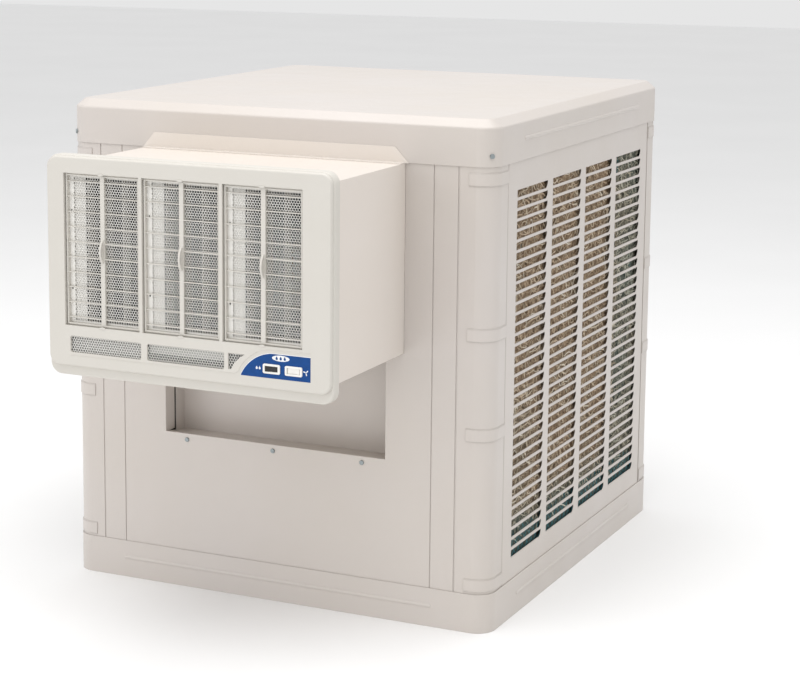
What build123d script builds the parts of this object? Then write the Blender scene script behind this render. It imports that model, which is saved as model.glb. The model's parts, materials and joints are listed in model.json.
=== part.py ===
"""Window evaporative cooler with a forward duct, a swivelling outlet grille and three louvred pad panels.

Frame: millimetres, +Z up, the room side faces -Y, origin at the centre of the cabinet's underside.
Each sub-part is written to parts/NODE.step at its place in the cooler.
"""
from build123d import *
import math
import os

# ---------------------------------------------------------------- driving dimensions
CABINET_WIDTH = 711.0
CABINET_DEPTH = 757.0
CABINET_HEIGHT = 758.0
PLAN_RADIUS = 30.0
SHEET = 1.2
SKIN_INSET = 1.5
FACE_GAP = 0.3

PAN_HEIGHT = 59.0
LID_EDGE = 690.0
LID_BEVEL_IN = 12.0
LID_BEVEL_DOWN = 14.0
SKIN_BOTTOM = 1.5
SKIN_TOP = 725.0

RIB_RADIUS = 4.0
RIB_PROUD = 1.5
PAN_RIB_HEIGHT = 32.0
LID_RIB_HEIGHT = 722.0
SIDE_RIB_LENGTH = 525.0
FRONT_RIB_LENGTH = 523.0

POST_LEG = 56.0
POST_RETURN = 14.0
BAND_CENTRES = (72.0, 298.0, 446.0, 672.0)
BAND_HEIGHT = 20.0
BAND_PROUD = 1.4
BAND_REACH = 40.0

SEAM = 1.4
STRIP_OUTER = 299.5
STRIP_INNER = 261.5
STRIP_RETURN = 16.0

RECESS_HALF_WIDTH = 187.5
RECESS_BOTTOM = 246.0
RECESS_DEPTH = 58.0
RECESS_RETURN = 27.0
RECESS_SILL_DROP = 8.0
RECESS_GAP = 5.0
RECESS_SCREW_X = (-149.5, 0.0, 149.5)
RECESS_SCREW_Z = 236.5

DUCT_HALF_WIDTH = 216.0
DUCT_BOTTOM = 409.0
DUCT_TOP = 689.6
DUCT_REACH = 246.0
DUCT_INSIDE = 38.0

GRILLE_REACH = 262.0
GRILLE_DEPTH = 22.0
GRILLE_HALF_WIDTH = 228.0
GRILLE_BOTTOM = 386.5
GRILLE_TOP = 706.5
GRILLE_PAD_DEPTH = 6.0
GRILLE_PAD_SIDE = 2.0
GRILLE_PAD_BOTTOM = 15.0
GRILLE_RADIUS = 18.0
GRILLE_WALL = 3.0
SLEEVE_CLEARANCE = 1.0
SLEEVE_WALL = 2.0
SLEEVE_END = 48.5

CELL_MIDDLE = -7.5
CELL_PITCH = 128.4
CELL_HALF = 61.7
CELL_BOTTOM = 461.0
CELL_TOP = 681.0
CARTRIDGE_HALF = 59.7
CARTRIDGE_GAP = 2.0
CARTRIDGE_FRONT = 3.5
CARTRIDGE_DEPTH = 24.0
CARTRIDGE_WALL = 1.8
BLADE_COUNT = 10
BLADE_PITCH = 21.8
BLADE_THICKNESS = 1.3
BLADE_CHORD = 4.0
SPINE_WIDTH = 7.0
SPINE_DEPTH = 5.0
SCREEN_SETBACK = 5.5
SCREEN_THICKNESS = 1.0
FIN_HEIGHT = 37.0
FIN_REACH = 8.0
FIN_THICKNESS = 3.2
PIVOT_RADIUS = 2.4
PIVOT_CLEARANCE = 0.06
VANE_PITCH = 28.8
VANE_CHORD = 18.5
VANE_THICKNESS = 1.3
SCREEN_PITCH = 12.5
SCREEN_HOLE = 10.0
SCREEN_COLUMNS = 9
SCREEN_ROWS = 17
CELL_NAMES = {"left": -1, "centre": 0, "right": 1}

WINDOW_BOTTOM = 422.0
WINDOW_TOP = 446.0
WINDOWS = ((-189.5, -72.0), (-62.0, 61.5))
BADGE_LEFT = 87.5
BADGE_RIGHT = 195.5
BADGE_BOTTOM = 417.0
BADGE_TOP = 451.5
BADGE_THICKNESS = 0.6
SWITCH_CENTRES = {"cool": 136.0, "fan": 170.0}
SWITCH_HEIGHT_Z = 430.2
SWITCH_WIDTH = 26.6
SWITCH_HEIGHT = 13.6
SWITCH_BODY_WIDTH = 22.6
SWITCH_BODY_HEIGHT = 10.0
SWITCH_BODY_DEPTH = 22.0
SWITCH_POCKET_WIDTH = 20.0
SWITCH_POCKET_HEIGHT = 8.0
SWITCH_POCKET_DEPTH = 8.0
SWITCH_HOLE_GAP = 0.2
ROCKER_TILT = 10.0

SLOT_COUNT = 36
SLOT_PITCH = 15.53
SLOT_HEIGHT = 11.5
SLOT_BOTTOM = 93.0
COLUMN_COUNT = 4
COLUMN_WIDTH = 126.0
COLUMN_GAP = 22.5
PANEL_TRAY = 45.0
PANEL_GAP = 0.7
PAD_THICKNESS = 37.0
PAD_CLEARANCE = 2.0
RETAINER_WIRE = 1.2
RETAINER_COLUMNS = 8
RETAINER_ROWS = 9
PANEL_NAMES = {"right": 0, "rear": 90, "left": 180}

WHEEL_RADIUS = 130.0
WHEEL_INNER = 108.0
WHEEL_HALF_WIDTH = 148.0
WHEEL_BLADES = 30
BLOWER_Y = 50.0
BLOWER_Z = 414.0
SCROLL_STEP = 42.0
SCROLL_START = 165.0
SCROLL_HALF_WIDTH = 160.0
SCROLL_INLET = 104.0
SHAFT_RADIUS = 6.35
RUNNING_CLEARANCE = 0.05
MOTOR_RADIUS = 60.0
MOTOR_START = 166.0
MOTOR_LENGTH = 105.0

PUMP_X, PUMP_Y = -235.0, -215.0
HOSE_RADIUS = 6.5
HOSE_BORE = 4.5
TROUGH_BOTTOM = 741.0
TROUGH_TOP = 753.0
TROUGH_WIDTH = 34.0
TROUGH_OUTER = 338.0
HOSE_INLET_X = -291.0

FLOAT_X, FLOAT_Y, FLOAT_Z = -326.0, 349.0, 76.0
NIPPLE_Z = 106.0
NIPPLE_RADIUS = 4.0
FLOAT_ARM_LENGTH = 118.0
FLOAT_RADIUS = 26.0

DRAIN_X, DRAIN_Y = 215.0, -235.0
DRAIN_DIMPLE_RADIUS = 36.0
DRAIN_DIMPLE_RISE = 17.0
DRAIN_THREAD_RADIUS = 13.2
DRAIN_SHOULDER = 14.0
OVERFLOW_RADIUS = 9.5
OVERFLOW_TOP = 49.0

# ---------------------------------------------------------------- places worked out from them
FRONT = -CABINET_DEPTH / 2
REAR = CABINET_DEPTH / 2
SIDE = CABINET_WIDTH / 2
SKIN_FRONT = FRONT + SKIN_INSET
GRILLE_FRONT = FRONT - GRILLE_REACH
PIVOT_Y = GRILLE_FRONT + CARTRIDGE_FRONT + CARTRIDGE_DEPTH / 2
GLAND_X = 150.0
GLAND_Y = FRONT - 190.0


# ---------------------------------------------------------------- small helpers
def slab(x0, x1, y0, y1, z0, z1):
    """A box between two opposite corners."""
    middle = Pos((x0 + x1) / 2, (y0 + y1) / 2, (z0 + z1) / 2)
    return middle * Box(x1 - x0, y1 - y0, z1 - z0)


def rounded_prism(width, depth, radius, low, high):
    """An upright prism on a rounded rectangle, centred on the Z axis."""
    return Pos(0, 0, low) * extrude(RectangleRounded(width, depth, radius), high - low)


def rod(radius, start, end):
    """A round bar from one point to another."""
    path = Vector(*end) - Vector(*start)
    section = Plane(origin=start, z_dir=path) * Circle(radius)
    return extrude(section, path.length)


def tube(outer, inner, start, end):
    """A round pipe from one point to another."""
    return rod(outer, start, end) - rod(inner, start, end)


def capsule(radius, start, end):
    """A round bar with ball ends."""
    return rod(radius, start, end) + Pos(*start) * Sphere(radius) + Pos(*end) * Sphere(radius)


def rounded_window(width, height, radius, y0, y1, x=0.0, z=0.0):
    """A block with rounded corners in the XZ plane, from depth y0 back to y1."""
    face = Pos(x, y0, z) * (Plane.XZ * RectangleRounded(width, height, radius))
    return extrude(face, y1 - y0, dir=(0, 1, 0))


def side_prism(outline, x0, x1):
    """A prism along +X on a closed outline given in the YZ plane."""
    return extrude(Pos(x0, 0, 0) * (Plane.YZ * outline), x1 - x0, dir=(1, 0, 0))


def front_prism(outline, y0, y1):
    """A prism along +Y on a closed outline given in the XZ plane."""
    face = Pos(0, y0, 0) * (Plane.XZ * outline)
    return extrude(face, y1 - y0, dir=(0, 1, 0))


NODES = {}


def keep(name, shape):
    """Notes a finished sub-part under its node name."""
    NODES[name] = shape


# ---------------------------------------------------------------- cabinet
def side_ribs(height):
    """Half-buried round ribs pressed along both sides, at one height."""
    buried = SIDE - RIB_RADIUS + RIB_PROUD
    half = SIDE_RIB_LENGTH / 2
    ribs = []
    for x in (-buried, buried):
        ribs.append(capsule(RIB_RADIUS, (x, -half, height), (x, half, height)))
    return ribs


def cross_rib(y, height):
    """A half-buried round rib pressed across the front or the rear."""
    half = FRONT_RIB_LENGTH / 2
    return capsule(RIB_RADIUS, (-half, y, height), (half, y, height))


def base_pan():
    """The water basin: a shallow pan with pressed ribs and a raised seat for the drain."""
    outer = rounded_prism(CABINET_WIDTH, CABINET_DEPTH, PLAN_RADIUS, 0, PAN_HEIGHT)
    buried = REAR - RIB_RADIUS + RIB_PROUD
    front_rib = cross_rib(-buried, PAN_RIB_HEIGHT)
    rear_rib = cross_rib(buried, PAN_RIB_HEIGHT)
    for rib in side_ribs(PAN_RIB_HEIGHT) + [front_rib, rear_rib]:
        outer += rib
    inner = rounded_prism(
        CABINET_WIDTH - 2 * SHEET, CABINET_DEPTH - 2 * SHEET, PLAN_RADIUS - SHEET, SHEET, PAN_HEIGHT + 1
    )
    seat = Pos(DRAIN_X, DRAIN_Y, 0) * Cylinder(
        DRAIN_DIMPLE_RADIUS, DRAIN_DIMPLE_RISE, align=(Align.CENTER, Align.CENTER, Align.MIN)
    )
    under_seat = Pos(DRAIN_X, DRAIN_Y, 0) * Cylinder(
        DRAIN_DIMPLE_RADIUS - SHEET, DRAIN_DIMPLE_RISE - SHEET, align=(Align.CENTER, Align.CENTER, Align.MIN)
    )
    hole = rod(DRAIN_THREAD_RADIUS, (DRAIN_X, DRAIN_Y, -1), (DRAIN_X, DRAIN_Y, DRAIN_DIMPLE_RISE + 1))
    keep("base_pan", outer - inner + seat - under_seat - hole)


def lid():
    """The cover: a shallow cap with a bevelled crown, pressed side ribs and folded edge."""
    outer = rounded_prism(CABINET_WIDTH, CABINET_DEPTH, PLAN_RADIUS, LID_EDGE, CABINET_HEIGHT)
    crown = outer.edges().group_by(Axis.Z)[-1]
    outer = chamfer(crown, length=LID_BEVEL_IN, length2=LID_BEVEL_DOWN)
    soft_edges = outer.edges().filter_by(lambda e: e.bounding_box().size.Z < 0.01)
    soft_edges = soft_edges.filter_by(lambda e: e.center().Z > LID_EDGE + 1)
    outer = fillet(soft_edges, 4.0)
    for rib in side_ribs(LID_RIB_HEIGHT):
        outer += rib
    outer += cross_rib(REAR - RIB_RADIUS + RIB_PROUD, LID_RIB_HEIGHT)
    inner = rounded_prism(
        CABINET_WIDTH - 2 * SHEET,
        CABINET_DEPTH - 2 * SHEET,
        PLAN_RADIUS - SHEET,
        LID_EDGE - 1,
        CABINET_HEIGHT - SHEET,
    )
    inner = chamfer(inner.edges().group_by(Axis.Z)[-1], length=LID_BEVEL_IN, length2=LID_BEVEL_DOWN)
    keep("lid", outer - inner)


def ring_profile(outset, thickness, low, high):
    """An upright rounded wall just inside the cabinet's outline, moved out by outset."""
    width = CABINET_WIDTH - 2 * SKIN_INSET + 2 * outset
    depth = CABINET_DEPTH - 2 * SKIN_INSET + 2 * outset
    radius = PLAN_RADIUS - SKIN_INSET + outset
    outer = rounded_prism(width, depth, radius, low, high)
    inner = rounded_prism(
        width - 2 * thickness, depth - 2 * thickness, radius - thickness, low - 1, high + 1
    )
    return outer - inner


def corner_posts():
    """Four rounded corner posts with returned edges and four raised bands each."""
    wall = ring_profile(0, SHEET, SKIN_BOTTOM, SKIN_TOP)
    flat = SIDE - BAND_REACH
    for centre in BAND_CENTRES:
        low = centre - BAND_HEIGHT / 2
        high = centre + BAND_HEIGHT / 2
        band = ring_profile(BAND_PROUD, SHEET + BAND_PROUD, low + BAND_PROUD, high - BAND_PROUD)
        band += ring_profile(BAND_PROUD / 2, SHEET + BAND_PROUD / 2, low, high)
        wall += band - slab(-flat, flat, FRONT - 5, REAR + 5, low - 1, high + 1)
    for sx, side_name in ((-1, "left"), (1, "right")):
        for sy, end_name in ((-1, "front"), (1, "rear")):
            corner = Pos(sx * (SIDE - POST_LEG / 2), sy * (REAR - POST_LEG / 2), CABINET_HEIGHT / 2) * Box(
                POST_LEG - SEAM, POST_LEG - SEAM, CABINET_HEIGHT
            )
            corner = Pos(sx * SEAM / 2, sy * SEAM / 2, 0) * corner
            post = wall & corner
            edge_x = SIDE - POST_LEG + SEAM
            edge_y = REAR - POST_LEG + SEAM
            skin_x = SIDE - SKIN_INSET
            skin_y = REAR - SKIN_INSET
            across = slab(
                sx * (edge_x + SHEET / 2) - SHEET / 2, sx * (edge_x + SHEET / 2) + SHEET / 2,
                sy * (skin_y - POST_RETURN / 2) - POST_RETURN / 2,
                sy * (skin_y - POST_RETURN / 2) + POST_RETURN / 2,
                SKIN_BOTTOM, SKIN_TOP,
            )
            along = slab(
                sx * (skin_x - POST_RETURN / 2) - POST_RETURN / 2,
                sx * (skin_x - POST_RETURN / 2) + POST_RETURN / 2,
                sy * (edge_y + SHEET / 2) - SHEET / 2, sy * (edge_y + SHEET / 2) + SHEET / 2,
                SKIN_BOTTOM, SKIN_TOP,
            )
            post += across + along
            if (end_name, side_name) == ("rear", "left"):
                post -= rod(NIPPLE_RADIUS, (FLOAT_X, REAR - 20, NIPPLE_Z), (FLOAT_X, REAR + 5, NIPPLE_Z))
            keep(f"corner_post_{end_name}_{side_name}", post)


def front_strips():
    """The two narrow upright covers between the corner posts and the front panel."""
    for sign, name in ((-1, "left"), (1, "right")):
        inner = STRIP_INNER + SEAM / 2
        outer = STRIP_OUTER - SEAM / 2
        strip = slab(inner, outer, SKIN_FRONT, SKIN_FRONT + SHEET, SKIN_BOTTOM, SKIN_TOP)
        for x0 in (inner, outer - SHEET):
            strip += slab(x0, x0 + SHEET, SKIN_FRONT, SKIN_FRONT + STRIP_RETURN, SKIN_BOTTOM, SKIN_TOP)
        if sign < 0:
            strip = mirror(strip, Plane.YZ)
        keep(f"front_strip_{name}", strip)


def front_panel():
    """The front sheet with the duct opening and the recess, and its folded returns."""
    half = STRIP_INNER - SEAM / 2
    panel = slab(-half, half, SKIN_FRONT, SKIN_FRONT + SHEET, SKIN_BOTTOM, SKIN_TOP)
    for x0 in (-half, half - SHEET):
        panel += slab(x0, x0 + SHEET, SKIN_FRONT, SKIN_FRONT + STRIP_RETURN, SKIN_BOTTOM, SKIN_TOP)
    opening = DUCT_HALF_WIDTH + FACE_GAP
    panel -= slab(-opening, opening, FRONT - 5, SKIN_FRONT + 5, DUCT_BOTTOM - FACE_GAP, DUCT_TOP + FACE_GAP)
    panel -= slab(
        -RECESS_HALF_WIDTH, RECESS_HALF_WIDTH, FRONT - 5, SKIN_FRONT + 5, RECESS_BOTTOM, DUCT_BOTTOM
    )
    for x0 in (-RECESS_HALF_WIDTH - SHEET, RECESS_HALF_WIDTH):
        back = SKIN_FRONT + RECESS_RETURN
        panel += slab(x0, x0 + SHEET, SKIN_FRONT, back, RECESS_BOTTOM - SHEET, DUCT_BOTTOM - 2)
    for x in RECESS_SCREW_X:
        panel -= rod(2.0, (x, FRONT - 5, RECESS_SCREW_Z), (x, SKIN_FRONT + 5, RECESS_SCREW_Z))
    sill = Polygon(
        (SKIN_FRONT, RECESS_BOTTOM - SHEET),
        (SKIN_FRONT, RECESS_BOTTOM),
        (SKIN_FRONT + RECESS_RETURN, RECESS_BOTTOM - RECESS_SILL_DROP / 2),
        (SKIN_FRONT + RECESS_RETURN, RECESS_BOTTOM - RECESS_SILL_DROP / 2 - SHEET),
        align=None,
    )
    panel += side_prism(sill, -RECESS_HALF_WIDTH - SHEET, RECESS_HALF_WIDTH + SHEET)
    keep("front_panel", panel)


def recess_liner():
    """The inner sheet behind the recess: a back plate with side flanges and a sloping sill."""
    back_y = SKIN_FRONT + RECESS_DEPTH
    half = RECESS_HALF_WIDTH + SHEET
    low = RECESS_BOTTOM - RECESS_SILL_DROP - SHEET
    high = DUCT_BOTTOM - 1
    start = SKIN_FRONT + RECESS_RETURN + RECESS_GAP
    liner = slab(-half, half, back_y, back_y + SHEET, low, high)
    for x0 in (-half, half - SHEET):
        liner += slab(x0, x0 + SHEET, start, back_y + SHEET, low, high)
    sill = Polygon(
        (start - RECESS_GAP + 0.4, RECESS_BOTTOM - RECESS_SILL_DROP / 2 - 2 * SHEET),
        (start - RECESS_GAP + 0.4, RECESS_BOTTOM - RECESS_SILL_DROP / 2 - SHEET - 0.2),
        (back_y + SHEET, low + SHEET),
        (back_y + SHEET, low),
        align=None,
    )
    liner += side_prism(sill, -half, half)
    keep("recess_liner", liner)


def pan_head_screw(x, y, z, head_radius, head_height, shank_radius, shank_length):
    """A pan-head screw that enters along +Y, its head's underside at y."""
    head = rod(head_radius, (x, y, z), (x, y - head_height, z))
    head = fillet(head.edges().group_by(Axis.Y)[0], head_height * 0.6)
    face = y - head_height
    slot = slab(x - head_radius, x + head_radius, face - 1, face + 0.6, z - 0.4, z + 0.4)
    return head - slot + rod(shank_radius, (x, y, z), (x, y + shank_length, z))


def recess_screws():
    """Three screws under the recess, driven through the front panel."""
    screws = [
        pan_head_screw(x, SKIN_FRONT, RECESS_SCREW_Z, 3.6, 2.2, 1.9, 9.0) for x in RECESS_SCREW_X
    ]
    keep("recess_screws", Compound(children=[s.solid() for s in screws]))


def lid_screws():
    """One screw at each rounded corner of the lid's skirt."""
    screws = []
    for sx in (-1, 1):
        for sy in (-1, 1):
            centre_x = sx * (SIDE - PLAN_RADIUS)
            centre_y = sy * (REAR - PLAN_RADIUS)
            reach = math.sqrt(0.5)
            outward = Vector(sx * reach, sy * reach, 0)
            seat = Vector(centre_x, centre_y, 706.0) + outward * (PLAN_RADIUS + 0.05)
            head = extrude(Plane(origin=seat, z_dir=outward) * Circle(3.6), 2.0)
            screws.append(head.solid())
    keep("lid_screws", Compound(children=screws))


# ---------------------------------------------------------------- duct and its flange
def duct():
    """The sheet duct that carries air through the window opening, and its upper flange plate."""
    front = FRONT - DUCT_REACH
    back = FRONT + DUCT_INSIDE
    outer = slab(-DUCT_HALF_WIDTH, DUCT_HALF_WIDTH, front, back, DUCT_BOTTOM, DUCT_TOP)
    half = DUCT_HALF_WIDTH - SHEET
    inner = slab(-half, half, front - 1, back + 1, DUCT_BOTTOM + SHEET, DUCT_TOP - SHEET)
    sleeve = outer - inner
    lip = 8.0
    for sign in (-1, 1):
        x0 = DUCT_HALF_WIDTH
        flange = slab(x0, x0 + lip, SKIN_FRONT + SHEET, SKIN_FRONT + 2 * SHEET, DUCT_BOTTOM, LID_EDGE - 2)
        sleeve += flange if sign > 0 else mirror(flange, Plane.YZ)
    gland_hole = rod(8.0, (GLAND_X, GLAND_Y, DUCT_BOTTOM - 3), (GLAND_X, GLAND_Y, DUCT_BOTTOM + 3))
    keep("duct_sleeve", sleeve - gland_hole)

    plate = Polygon(
        (-222.5, DUCT_TOP), (222.0, DUCT_TOP), (200.5, 713.0), (-202.5, 713.0), align=None
    )
    flange_plate = front_prism(plate, FRONT - SHEET, FRONT)
    wide = DUCT_HALF_WIDTH
    flange_plate += slab(-wide, wide, FRONT - 14, FRONT - SHEET, DUCT_TOP, DUCT_TOP + SHEET)
    keep("duct_top_flange", flange_plate)

    outlet = slab(-half, half, back - SHEET, back, DUCT_BOTTOM + SHEET, DUCT_TOP - SHEET)
    mouth = SCROLL_HALF_WIDTH
    outlet -= slab(-mouth, mouth, back - 5, back + 5, DUCT_BOTTOM + 5, scroll_top() + SHEET)
    keep("outlet_plate", outlet)


def cord_gland():
    """The strain relief bush for a power lead, in the duct's floor."""
    x, y = GLAND_X, GLAND_Y
    body = rod(7.9, (x, y, DUCT_BOTTOM - 2), (x, y, DUCT_BOTTOM + 8))
    flange = rod(11.0, (x, y, DUCT_BOTTOM - 4), (x, y, DUCT_BOTTOM))
    flange = fillet(flange.edges().group_by(Axis.Z)[0], 1.5)
    nut = Pos(x, y, DUCT_BOTTOM + SHEET) * extrude(RegularPolygon(11.0, 6), 4.0)
    bore = rod(3.8, (x, y, DUCT_BOTTOM - 10), (x, y, DUCT_BOTTOM + 12))
    keep("cord_gland", body + flange + nut - bore)


# ---------------------------------------------------------------- outlet grille
def badge_outline(grow):
    """The control badge's outline: a flat right end and a left side that sweeps up in an arc."""
    left = (BADGE_LEFT - grow, BADGE_BOTTOM - grow * 0.4)
    crest = (135.0, BADGE_TOP + grow)
    right_top = (BADGE_RIGHT + grow * 0.4, BADGE_TOP + grow)
    right_bottom = (BADGE_RIGHT + grow * 0.4, BADGE_BOTTOM - grow * 0.4)
    sweep = ThreePointArc(left, (105.5 - grow * 0.8, 439.5 + grow * 0.8), crest)
    edges = [sweep, Line(crest, right_top), Line(right_top, right_bottom), Line(right_bottom, left)]
    return make_face(Curve() + edges)


def corner_window():
    """The small third window, whose right side follows the badge's arc."""
    low_left = (68.0, WINDOW_BOTTOM + 1.5)
    low_right = (73.0, WINDOW_BOTTOM + 1.5)
    top_right = (94.0, WINDOW_TOP)
    top_left = (68.0, WINDOW_TOP)
    edges = [
        Line(top_left, low_left),
        Line(low_left, low_right),
        ThreePointArc(low_right, (81.5, 436.5), top_right),
        Line(top_right, top_left),
    ]
    return make_face(Curve() + edges)


def cell_centres():
    """Each cell's name and the X of its middle."""
    return [(name, CELL_MIDDLE + place * CELL_PITCH) for name, place in CELL_NAMES.items()]


def grille_frame():
    """The moulded outlet surround: stepped front, three cells, lower windows and a rear sleeve."""
    width = 2 * GRILLE_HALF_WIDTH
    middle_z = (GRILLE_BOTTOM + GRILLE_TOP) / 2
    rear = GRILLE_FRONT + GRILLE_DEPTH
    step = GRILLE_FRONT + GRILLE_PAD_DEPTH
    skirt = rounded_window(width, GRILLE_TOP - GRILLE_BOTTOM, GRILLE_RADIUS, step, rear, z=middle_z)
    skirt = fillet(skirt.edges().group_by(Axis.Y)[0], 3.0)
    pad_bottom = GRILLE_BOTTOM + GRILLE_PAD_BOTTOM
    pad_top = GRILLE_TOP - GRILLE_PAD_SIDE
    pad = rounded_window(
        width - 2 * GRILLE_PAD_SIDE, pad_top - pad_bottom, GRILLE_RADIUS - 2, GRILLE_FRONT, step + 4,
        z=(pad_bottom + pad_top) / 2,
    )
    pad = fillet(pad.edges().group_by(Axis.Y)[0], 3.0)
    hollow = rounded_window(
        width - 2 * GRILLE_WALL - 3,
        GRILLE_TOP - pad_bottom - 2 * GRILLE_WALL - 2,
        GRILLE_RADIUS - GRILLE_WALL,
        GRILLE_FRONT + GRILLE_WALL,
        rear + 1,
        z=(pad_bottom + GRILLE_TOP) / 2,
    )
    lower_hollow = slab(
        -GRILLE_HALF_WIDTH + 14, GRILLE_HALF_WIDTH - 14, step + GRILLE_WALL, rear + 1,
        GRILLE_BOTTOM + GRILLE_WALL, pad_bottom + 10,
    )
    frame = skirt + pad - hollow - lower_hollow

    outer_x = DUCT_HALF_WIDTH - SHEET - SLEEVE_CLEARANCE
    low = DUCT_BOTTOM + SHEET + SLEEVE_CLEARANCE
    high = DUCT_TOP - SHEET - SLEEVE_CLEARANCE
    face_back = GRILLE_FRONT + GRILLE_WALL
    sleeve_end = GRILLE_FRONT + SLEEVE_END
    sleeve = slab(-outer_x, outer_x, face_back, sleeve_end, low, high)
    sleeve -= slab(
        -outer_x + SLEEVE_WALL, outer_x - SLEEVE_WALL, face_back - 1, sleeve_end + 1,
        low + SLEEVE_WALL, high - SLEEVE_WALL,
    )
    frame += sleeve
    wall_half = (CELL_PITCH - 2 * CELL_HALF) / 2
    for place in (-1.5, -0.5, 0.5, 1.5):
        x = CELL_MIDDLE + place * CELL_PITCH
        frame += slab(x - wall_half, x + wall_half, face_back, sleeve_end, CELL_BOTTOM - 4, high - 1)
    frame += slab(-outer_x + 1, outer_x - 1, face_back, sleeve_end, CELL_BOTTOM - 4, CELL_BOTTOM)
    frame += slab(-outer_x + 1, outer_x - 1, face_back, sleeve_end, CELL_TOP, high - 1)

    for _, x in cell_centres():
        frame -= slab(
            x - CELL_HALF, x + CELL_HALF, GRILLE_FRONT - 1, sleeve_end + 1, CELL_BOTTOM, CELL_TOP
        )
        frame -= rod(
            PIVOT_RADIUS + PIVOT_CLEARANCE, (x, PIVOT_Y, CELL_BOTTOM - 3.2), (x, PIVOT_Y, CELL_TOP + 3.2)
        )
    for x0, x1 in WINDOWS:
        frame -= rounded_window(
            x1 - x0, WINDOW_TOP - WINDOW_BOTTOM, 3.0, GRILLE_FRONT - 1, face_back + 1,
            x=(x0 + x1) / 2, z=(WINDOW_BOTTOM + WINDOW_TOP) / 2,
        )
    frame -= front_prism(corner_window(), GRILLE_FRONT - 1, face_back + 1)
    frame -= front_prism(badge_outline(0.15), GRILLE_FRONT - 1, GRILLE_FRONT + BADGE_THICKNESS)
    for x in SWITCH_CENTRES.values():
        frame -= slab(
            x - SWITCH_BODY_WIDTH / 2 - SWITCH_HOLE_GAP,
            x + SWITCH_BODY_WIDTH / 2 + SWITCH_HOLE_GAP,
            GRILLE_FRONT - 1,
            face_back + 1,
            SWITCH_HEIGHT_Z - SWITCH_BODY_HEIGHT / 2 - SWITCH_HOLE_GAP,
            SWITCH_HEIGHT_Z + SWITCH_BODY_HEIGHT / 2 + SWITCH_HOLE_GAP,
        )
    keep("grille_frame", frame)


def control_badge():
    """The thin coloured plate around the two switches."""
    badge = front_prism(badge_outline(0.0), GRILLE_FRONT, GRILLE_FRONT + BADGE_THICKNESS)
    for x in SWITCH_CENTRES.values():
        low = SWITCH_HEIGHT_Z - SWITCH_BODY_HEIGHT / 2 - FACE_GAP
        high = SWITCH_HEIGHT_Z + SWITCH_BODY_HEIGHT / 2 + FACE_GAP
        reach = SWITCH_BODY_WIDTH / 2 + FACE_GAP
        badge -= slab(x - reach, x + reach, GRILLE_FRONT - 1, GRILLE_FRONT + 2, low, high)
    keep("control_badge", badge)


def switch_parts():
    """A bezel with a rear housing and a tilting rocker, for each of the two switches."""
    for name, x in SWITCH_CENTRES.items():
        front = GRILLE_FRONT
        z = SWITCH_HEIGHT_Z
        bezel = rounded_window(SWITCH_WIDTH, SWITCH_HEIGHT, 2.4, front - 1.8, front, x=x, z=z)
        bezel = fillet(bezel.edges().group_by(Axis.Y)[0], 0.8)
        reach = SWITCH_BODY_WIDTH / 2
        rise = SWITCH_BODY_HEIGHT / 2
        housing = slab(x - reach, x + reach, front, front + SWITCH_BODY_DEPTH, z - rise, z + rise)
        reach = SWITCH_POCKET_WIDTH / 2
        rise = SWITCH_POCKET_HEIGHT / 2
        pocket = slab(x - reach, x + reach, front - 5, front + SWITCH_POCKET_DEPTH, z - rise, z + rise)
        keep(f"switch_body_{name}", bezel + housing - pocket)

        axis_y = GRILLE_FRONT + 3.5
        half = 9.0
        outline = make_face(
            Curve()
            + [
                Line((-half, 1.0), (-half, -4.6)),
                ThreePointArc((-half, -4.6), (0, -3.0), (half, -4.6)),
                Line((half, -4.6), (half, 1.0)),
                ThreePointArc((half, 1.0), (0, 3.6), (-half, 1.0)),
            ]
        )
        rocker = extrude(outline, 3.8, both=True)
        rest_tilt = ROCKER_TILT if name == "cool" else 0.0
        rocker = Pos(x, axis_y, SWITCH_HEIGHT_Z) * Rot(0, 0, rest_tilt) * rocker
        keep(f"rocker_{name}", rocker)


def control_box():
    """The sheet cover behind the switches, inside the grille's lower strip."""
    y0 = GRILLE_FRONT + 26
    y1 = GRILLE_FRONT + SLEEVE_END - 1
    box = slab(64.0, 204.0, y0, y1, 414.0, 452.0)
    box -= slab(64.0 + SHEET, 204.0 - SHEET, y0 - 1, y1 - SHEET, 414.0 + SHEET, 452.0 - SHEET)
    keep("control_box", box)


def lower_screen():
    """The perforated strips behind the three lower windows."""
    y0 = GRILLE_FRONT + GRILLE_WALL
    strips = []
    for x0, x1 in WINDOWS + ((66.0, 96.0),):
        strip = slab(x0 - 3, x1 + 3 if x1 < 90 else x1, y0, y0 + 1.0, WINDOW_BOTTOM - 3, WINDOW_TOP + 3)
        count = int((x1 - x0) // 12)
        for column in range(count):
            for row in range(2):
                x = (x0 + x1) / 2 + (column - (count - 1) / 2) * 12
                z = (WINDOW_BOTTOM + WINDOW_TOP) / 2 + (row - 0.5) * 11
                strip -= slab(x - 4.5, x + 4.5, y0 - 1, y0 + 2, z - 4, z + 4)
        strips.append(strip.solid())
    keep("lower_screen", Compound(children=strips))


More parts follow.
